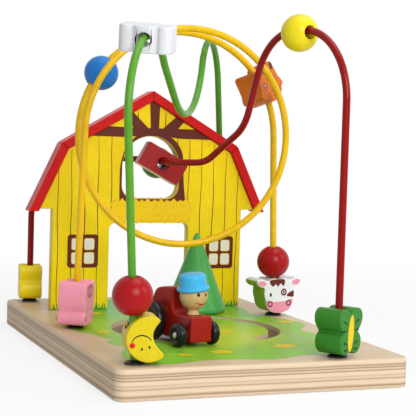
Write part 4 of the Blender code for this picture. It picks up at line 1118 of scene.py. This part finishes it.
def make_ferrules():
    """The domed caps that sit round the wires' feet."""
    angles = [math.radians(i * 62 / 10) for i in range(11)]
    dome = [(FERRULE_RADIUS * math.cos(a), FERRULE_HEIGHT * math.sin(a)) for a in angles]
    inner = WIRE_RADIUS + 0.7 * GAP
    profile = [(inner, 0)] + dome + [(inner, FERRULE_HEIGHT * 0.96)]
    for name in FEET:
        foot = Matrix.Translation(on_leg(name, BOARD_TOP + GAP))
        cap = link(f"cap_{name}", turned(name, profile, 48), ["cap_plastic"], foot, "frame")
        stand_in(f"ferrule_{name}")


# Tractor
TRACTOR_HEADING = Matrix.Rotation(math.radians(-78), 4, "Z")
TRACTOR = Matrix.Translation((*on_track(SLOT_ENDS[1]), BOARD_TOP)) @ TRACTOR_HEADING
HALF_WIDTH, BODY_LOW, HOOD_TOP, CAB_TOP = 0.0085, 0.0032, 0.0205, 0.0375
BODY_FRONT, BODY_REAR, CAB_FRONT = 0.0275, 0.024, 0.003
DRIVER_X, HEAD_RADIUS, HEAD_HEIGHT = 0.0165, 0.0094, 0.0126
AXLE_RADIUS, RUNNING_GAP, AXLE_PLAY = 0.002, 0.0004, 0.0022
HAT_TILT = math.radians(6.5)
# The face's places on the head, as azimuth and elevation in degrees
EYES, EYE_RADIUS = ((-12.5, 11.0), (27, 9.5)), 0.0011
SMILE_START, SMILE_SWEEP, SMILE_ENDS, SMILE_DIP, SMILE_WIDTH = -24, 76, -19.5, 12.0, 8.0
# Each axle's distance ahead of the pin, and its wheels' radius and width
AXLES = {"front": (0.021, 0.008, 0.006), "rear": (-0.012, 0.0135, 0.007)}


def make_body():
    hollow, brow = 0.0055, 0.0022
    outline = [(BODY_FRONT, BODY_LOW), (BODY_FRONT, HOOD_TOP)]
    outline += arc(CAB_FRONT + hollow, HOOD_TOP + hollow, hollow, 1.5 * math.pi, math.pi, 8)
    outline += arc(CAB_FRONT - brow, CAB_TOP - brow, brow, 0, math.pi / 2, 5)
    sweep = ((CAB_FRONT - 0.008, CAB_TOP - 0.0001), (-BODY_REAR + 0.0075, CAB_TOP - 0.0022),
             (-BODY_REAR + 0.0030, CAB_TOP - 0.0062), (-BODY_REAR + 0.0007, CAB_TOP - 0.0115),
             (-BODY_REAR, CAB_TOP - 0.018))
    outline += through(sweep, False, 5) + [(-BODY_REAR, BODY_LOW)]
    mesh = slab("tractor", outline, 2 * HALF_WIDTH)
    body = link("lacquered_tractor", mesh, ["tractor_paint"], TRACTOR, "tractor")
    soften(body, 0.0015, 4)
    stand_in("tractor_body")


def paint_body(side, turn, flip):
    """Gold louvres and a black lamp mark on one side of the body."""
    at_side = TRACTOR @ Matrix.Rotation(turn, 4, "Z") @ Matrix.Translation((0, -HALF_WIDTH, 0))
    trim = Print(f"print_tractor_{side}", at_side, "tractor")
    for i in range(5):
        x = flip * (-10.6 + 1.9 * i)
        trim.paint("ink_gold", stroke([(x, 20.4), (x + 0.1, 22.4), (x, 25.2 - 0.3 * i)], 0.55))
    lamp = [(flip * x, z) for x, z in ((26.0, 13.4), (27.0, 13.6), (26.9, 17.8), (25.6, 18.2))]
    trim.paint("ink_black", in_mm(lamp))
    trim.finish()


def wheel_profile(radius, width):
    """A rounded tread, a dished face and a raised hub round the axle's hole."""
    soft, hole = 0.42 * width, AXLE_RADIUS + GAP
    tread = arc(radius - soft, soft, soft, -math.pi / 2, 0, 8)
    tread += arc(radius - soft, width - soft, soft, 0, math.pi / 2, 8)
    face = [(0.66 * radius, width - 0.0003), (0.60 * radius, width - 0.0009), (0.48 * radius, width - 0.0012),
            (0.42 * radius, width - 0.0007), (0.38 * radius, width - 0.0003), (hole + 0.0003, width - 0.0002)]
    return [(hole, 0)] + tread + face + [(hole, width - 0.0005)]


def make_wheels():
    for axle, (x, radius, width) in AXLES.items():
        spin = TRACTOR @ Matrix.Translation((x, 0, radius + GAP)) @ Matrix.Rotation(math.pi / 2, 4, "X")
        profile = wheel_profile(radius, width)
        dress(f"{axle}_axle", "plated_steel")
        for side, turn, play in (("left", math.pi, 0.0), ("right", 0, AXLE_PLAY)):
            out = Matrix.Translation((0, 0, HALF_WIDTH + RUNNING_GAP + play))
            place = spin @ Matrix.Rotation(turn, 4, "X") @ out
            wheel = link(f"turned_{axle}_wheel_{side}", turned("wheel", profile, 72), ["wheel_paint"], place,
                         f"{axle}_wheels")
            stand_in(f"{axle}_wheel_{side}")


def make_driver():
    """The ball-headed peg and its hat, which tilts a little."""
    seat = TRACTOR @ Matrix.Translation((DRIVER_X, 0, HOOD_TOP))
    neck = -math.asin((HEAD_HEIGHT - 0.0042) / HEAD_RADIUS)
    profile = [(0, -0.004), (0.0035, -0.004), (0.0035, GAP), (0.0042, GAP), (0.0042, 0.0007),
               (0.0036, 0.0015), (0.0032, 0.0024), (0.0033, 0.0034)]
    profile += arc(0, HEAD_HEIGHT, HEAD_RADIUS, neck, 1.2, 26) + [(0, HEAD_HEIGHT + 0.0088)]
    head = link("turned_driver", turned("driver", profile, 64), ["head_beech_with_painted_shade"], seat, "tractor")
    stand_in("driver_peg")
    make_face(seat)
    brim, crown, brim_edge, crown_edge = 0.0163, 0.0278, 0.0014, 0.0026
    hat = [(0, brim), (0.0090, brim)]
    hat += arc(0.0096, brim + brim_edge, brim_edge, -math.pi / 2, math.pi / 2, 10)
    hat += [(0.0093, brim + 0.0030), (0.00915, brim + 0.0036), (0.0092, brim + 0.0060),
            (0.0091, crown - 0.0036)]
    hat += arc(0.0090 - crown_edge, crown - crown_edge, crown_edge, math.radians(8), math.pi / 2, 8)
    hat += [(0.003, crown), (0, crown)]
    up = Matrix.Translation((0, 0, HEAD_HEIGHT))
    tilt = up @ Matrix.Rotation(HAT_TILT, 4, "X") @ up.inverted()
    top = link("turned_hat", turned("hat", hat, 64), ["hat_paint"], seat @ tilt, "tractor")
    stand_in("driver_hat")


def on_head(azimuth, elevation, lift=0.00006):
    """A point just above the head's surface and the outward direction there."""
    a, e = math.radians(azimuth), math.radians(elevation)
    out = Vector((math.cos(e) * math.cos(a), math.cos(e) * math.sin(a), math.sin(e)))
    return Vector((0, 0, HEAD_HEIGHT)) + out * (HEAD_RADIUS + lift), out


def make_face(seat):
    """Two dot eyes and a curved smile painted on the ball head."""
    bm = bmesh.new()
    for azimuth, elevation in EYES:
        centre, out = on_head(azimuth, elevation)
        side = out.cross(Vector((0, 0, 1))).normalized()
        up = side.cross(out)
        angles = (2 * math.pi * k / 20 for k in range(20))
        ring = [centre + EYE_RADIUS * (side * math.cos(t) + up * 1.15 * math.sin(t)) for t in angles]
        bm.faces.new([bm.verts.new(p) for p in ring])
    link("print_eyes", to_mesh("print_eyes", bm, False), ["ink_black"], seat, "tractor")
    bm = bmesh.new()
    upper, lower = [], []
    count = 16
    for k in range(count + 1):
        share = k / count
        azimuth = SMILE_START + SMILE_SWEEP * share
        middle = SMILE_ENDS - SMILE_DIP * (1 - (2 * share - 1) ** 2)
        thick = SMILE_WIDTH * (0.35 + 0.65 * math.sin(math.pi * share))
        upper.append(bm.verts.new(on_head(azimuth, middle + thick / 2)[0]))
        lower.append(bm.verts.new(on_head(azimuth, middle - thick / 2)[0]))
    for k in range(count):
        bm.faces.new((lower[k], lower[k + 1], upper[k + 1], upper[k]))
    link("print_smile", to_mesh("print_smile", bm, False), ["ink_red"], seat, "tractor")


def make_tractor():
    make_body()
    paint_body("right", 0, 1)
    paint_body("left", math.pi, -1)
    make_wheels()
    make_driver()


# Stage
FLOOR_SIZE = 6.0
FLOOR_GREY = (0.86, 0.86, 0.86)
PURE_WHITE = (1.0, 1.0, 1.0)
WORLD_LIGHT = 0.30
# Each lamp's place, size and power
LAMPS = {
    "key": ((0.0, -1.45, 0.75), 0.9, 16.5), "side": ((1.2, -0.8, 0.8), 0.8, 4.0),
    "top": ((0.25, -0.1, 1.4), 1.0, 6.6),
}
CAMERA_PLACE = (-0.320426, -0.860246, 0.163896)
CAMERA_RIGHT = (0.931798, -0.361753, 0.029788)
CAMERA_UP = (-0.005129, 0.068934, 0.997608)
CAMERA_BACK = (-0.362942, -0.929722, 0.062377)
CAMERA_LENS, CAMERA_SHIFT_X, CAMERA_SHIFT_Y = 108.541, 0.0013976, 0.00076982


def make_floor():
    """A pale floor that turns white away from the board, and keeps the board's shadow."""
    s = FLOOR_SIZE
    mesh = bpy.data.meshes.new("floor")
    mesh.from_pydata([(-s, -s, 0), (s, -s, 0), (s, s, 0), (-s, s, 0)], [], [(0, 1, 2, 3)])
    floor = bpy.data.objects.new("floor", mesh)
    bpy.context.scene.collection.objects.link(floor)
    paint = Finish("pale_floor")
    paint.feed(paint.shader.inputs["Base Color"], FLOOR_GREY)
    paint.feed(paint.shader.inputs["Roughness"], 0.8)
    glow = paint.add("Emission", {"Color": PURE_WHITE, "Strength": 1.0})
    away = paint.add("VectorMath", {0: paint.place}, operation="LENGTH").outputs["Value"]
    share = paint.times(paint.seen("Camera", "Glossy"), paint.span(away, 0.2, 0.8, 0.80, 1.0))
    lift = paint.add("MixShader", {0: share, 1: paint.shader.outputs[0], 2: glow.outputs[0]})
    paint.feed(paint.tree.nodes["Material Output"].inputs["Surface"], lift.outputs[0])
    mesh.materials.append(PAINTS["pale_floor"])


def make_world():
    """Soft light from all round, and plain white where the camera sees past the floor."""
    world = bpy.data.worlds.new("studio")
    world.use_nodes = True
    nodes = Nodes(world.node_tree)
    background = nodes.tree.nodes["Background"].inputs
    nodes.feed(background["Color"], PURE_WHITE)
    white = nodes.times(nodes.seen("Camera", "Glossy", "Transmission"), 1 - WORLD_LIGHT)
    nodes.feed(background["Strength"], nodes.plus(white, WORLD_LIGHT))
    bpy.context.scene.world = world


def add_lamp(name, place, size, power):
    """A soft round lamp that faces the middle of the board."""
    lamp = bpy.data.lights.new(name, "AREA")
    lamp.shape = "DISK"
    lamp.size = size
    lamp.energy = power
    item = bpy.data.objects.new(name, lamp)
    bpy.context.scene.collection.objects.link(item)
    item.location = place
    item.rotation_euler = (Vector((0, 0, 0.1)) - Vector(place)).to_track_quat("-Z", "Y").to_euler()


def add_camera():
    """The camera stands where the photograph was taken from."""
    camera = bpy.data.cameras.new("camera")
    camera.sensor_width = 36.0
    camera.lens = CAMERA_LENS
    camera.shift_x = CAMERA_SHIFT_X
    camera.shift_y = CAMERA_SHIFT_Y
    item = bpy.data.objects.new("camera", camera)
    bpy.context.scene.collection.objects.link(item)
    turn = Matrix((CAMERA_RIGHT, CAMERA_UP, CAMERA_BACK)).transposed().to_4x4()
    item.matrix_world = Matrix.Translation(CAMERA_PLACE) @ turn
    bpy.context.scene.camera = item


def make_stage():
    bpy.context.scene.view_settings.view_transform = "Standard"
    make_floor()
    make_world()
    for name, settings in LAMPS.items():
        add_lamp(name, *settings)
    add_camera()


make_paints()
make_board()
make_barn()
make_tree()
for steel_node in ("tree_screw", "barn_screw_left", "barn_screw_right", "track_pin", "track_washer"):
    dress(steel_node, "plated_steel")
make_wires()
make_ferrules()
make_beads()
make_tractor()
make_stage()
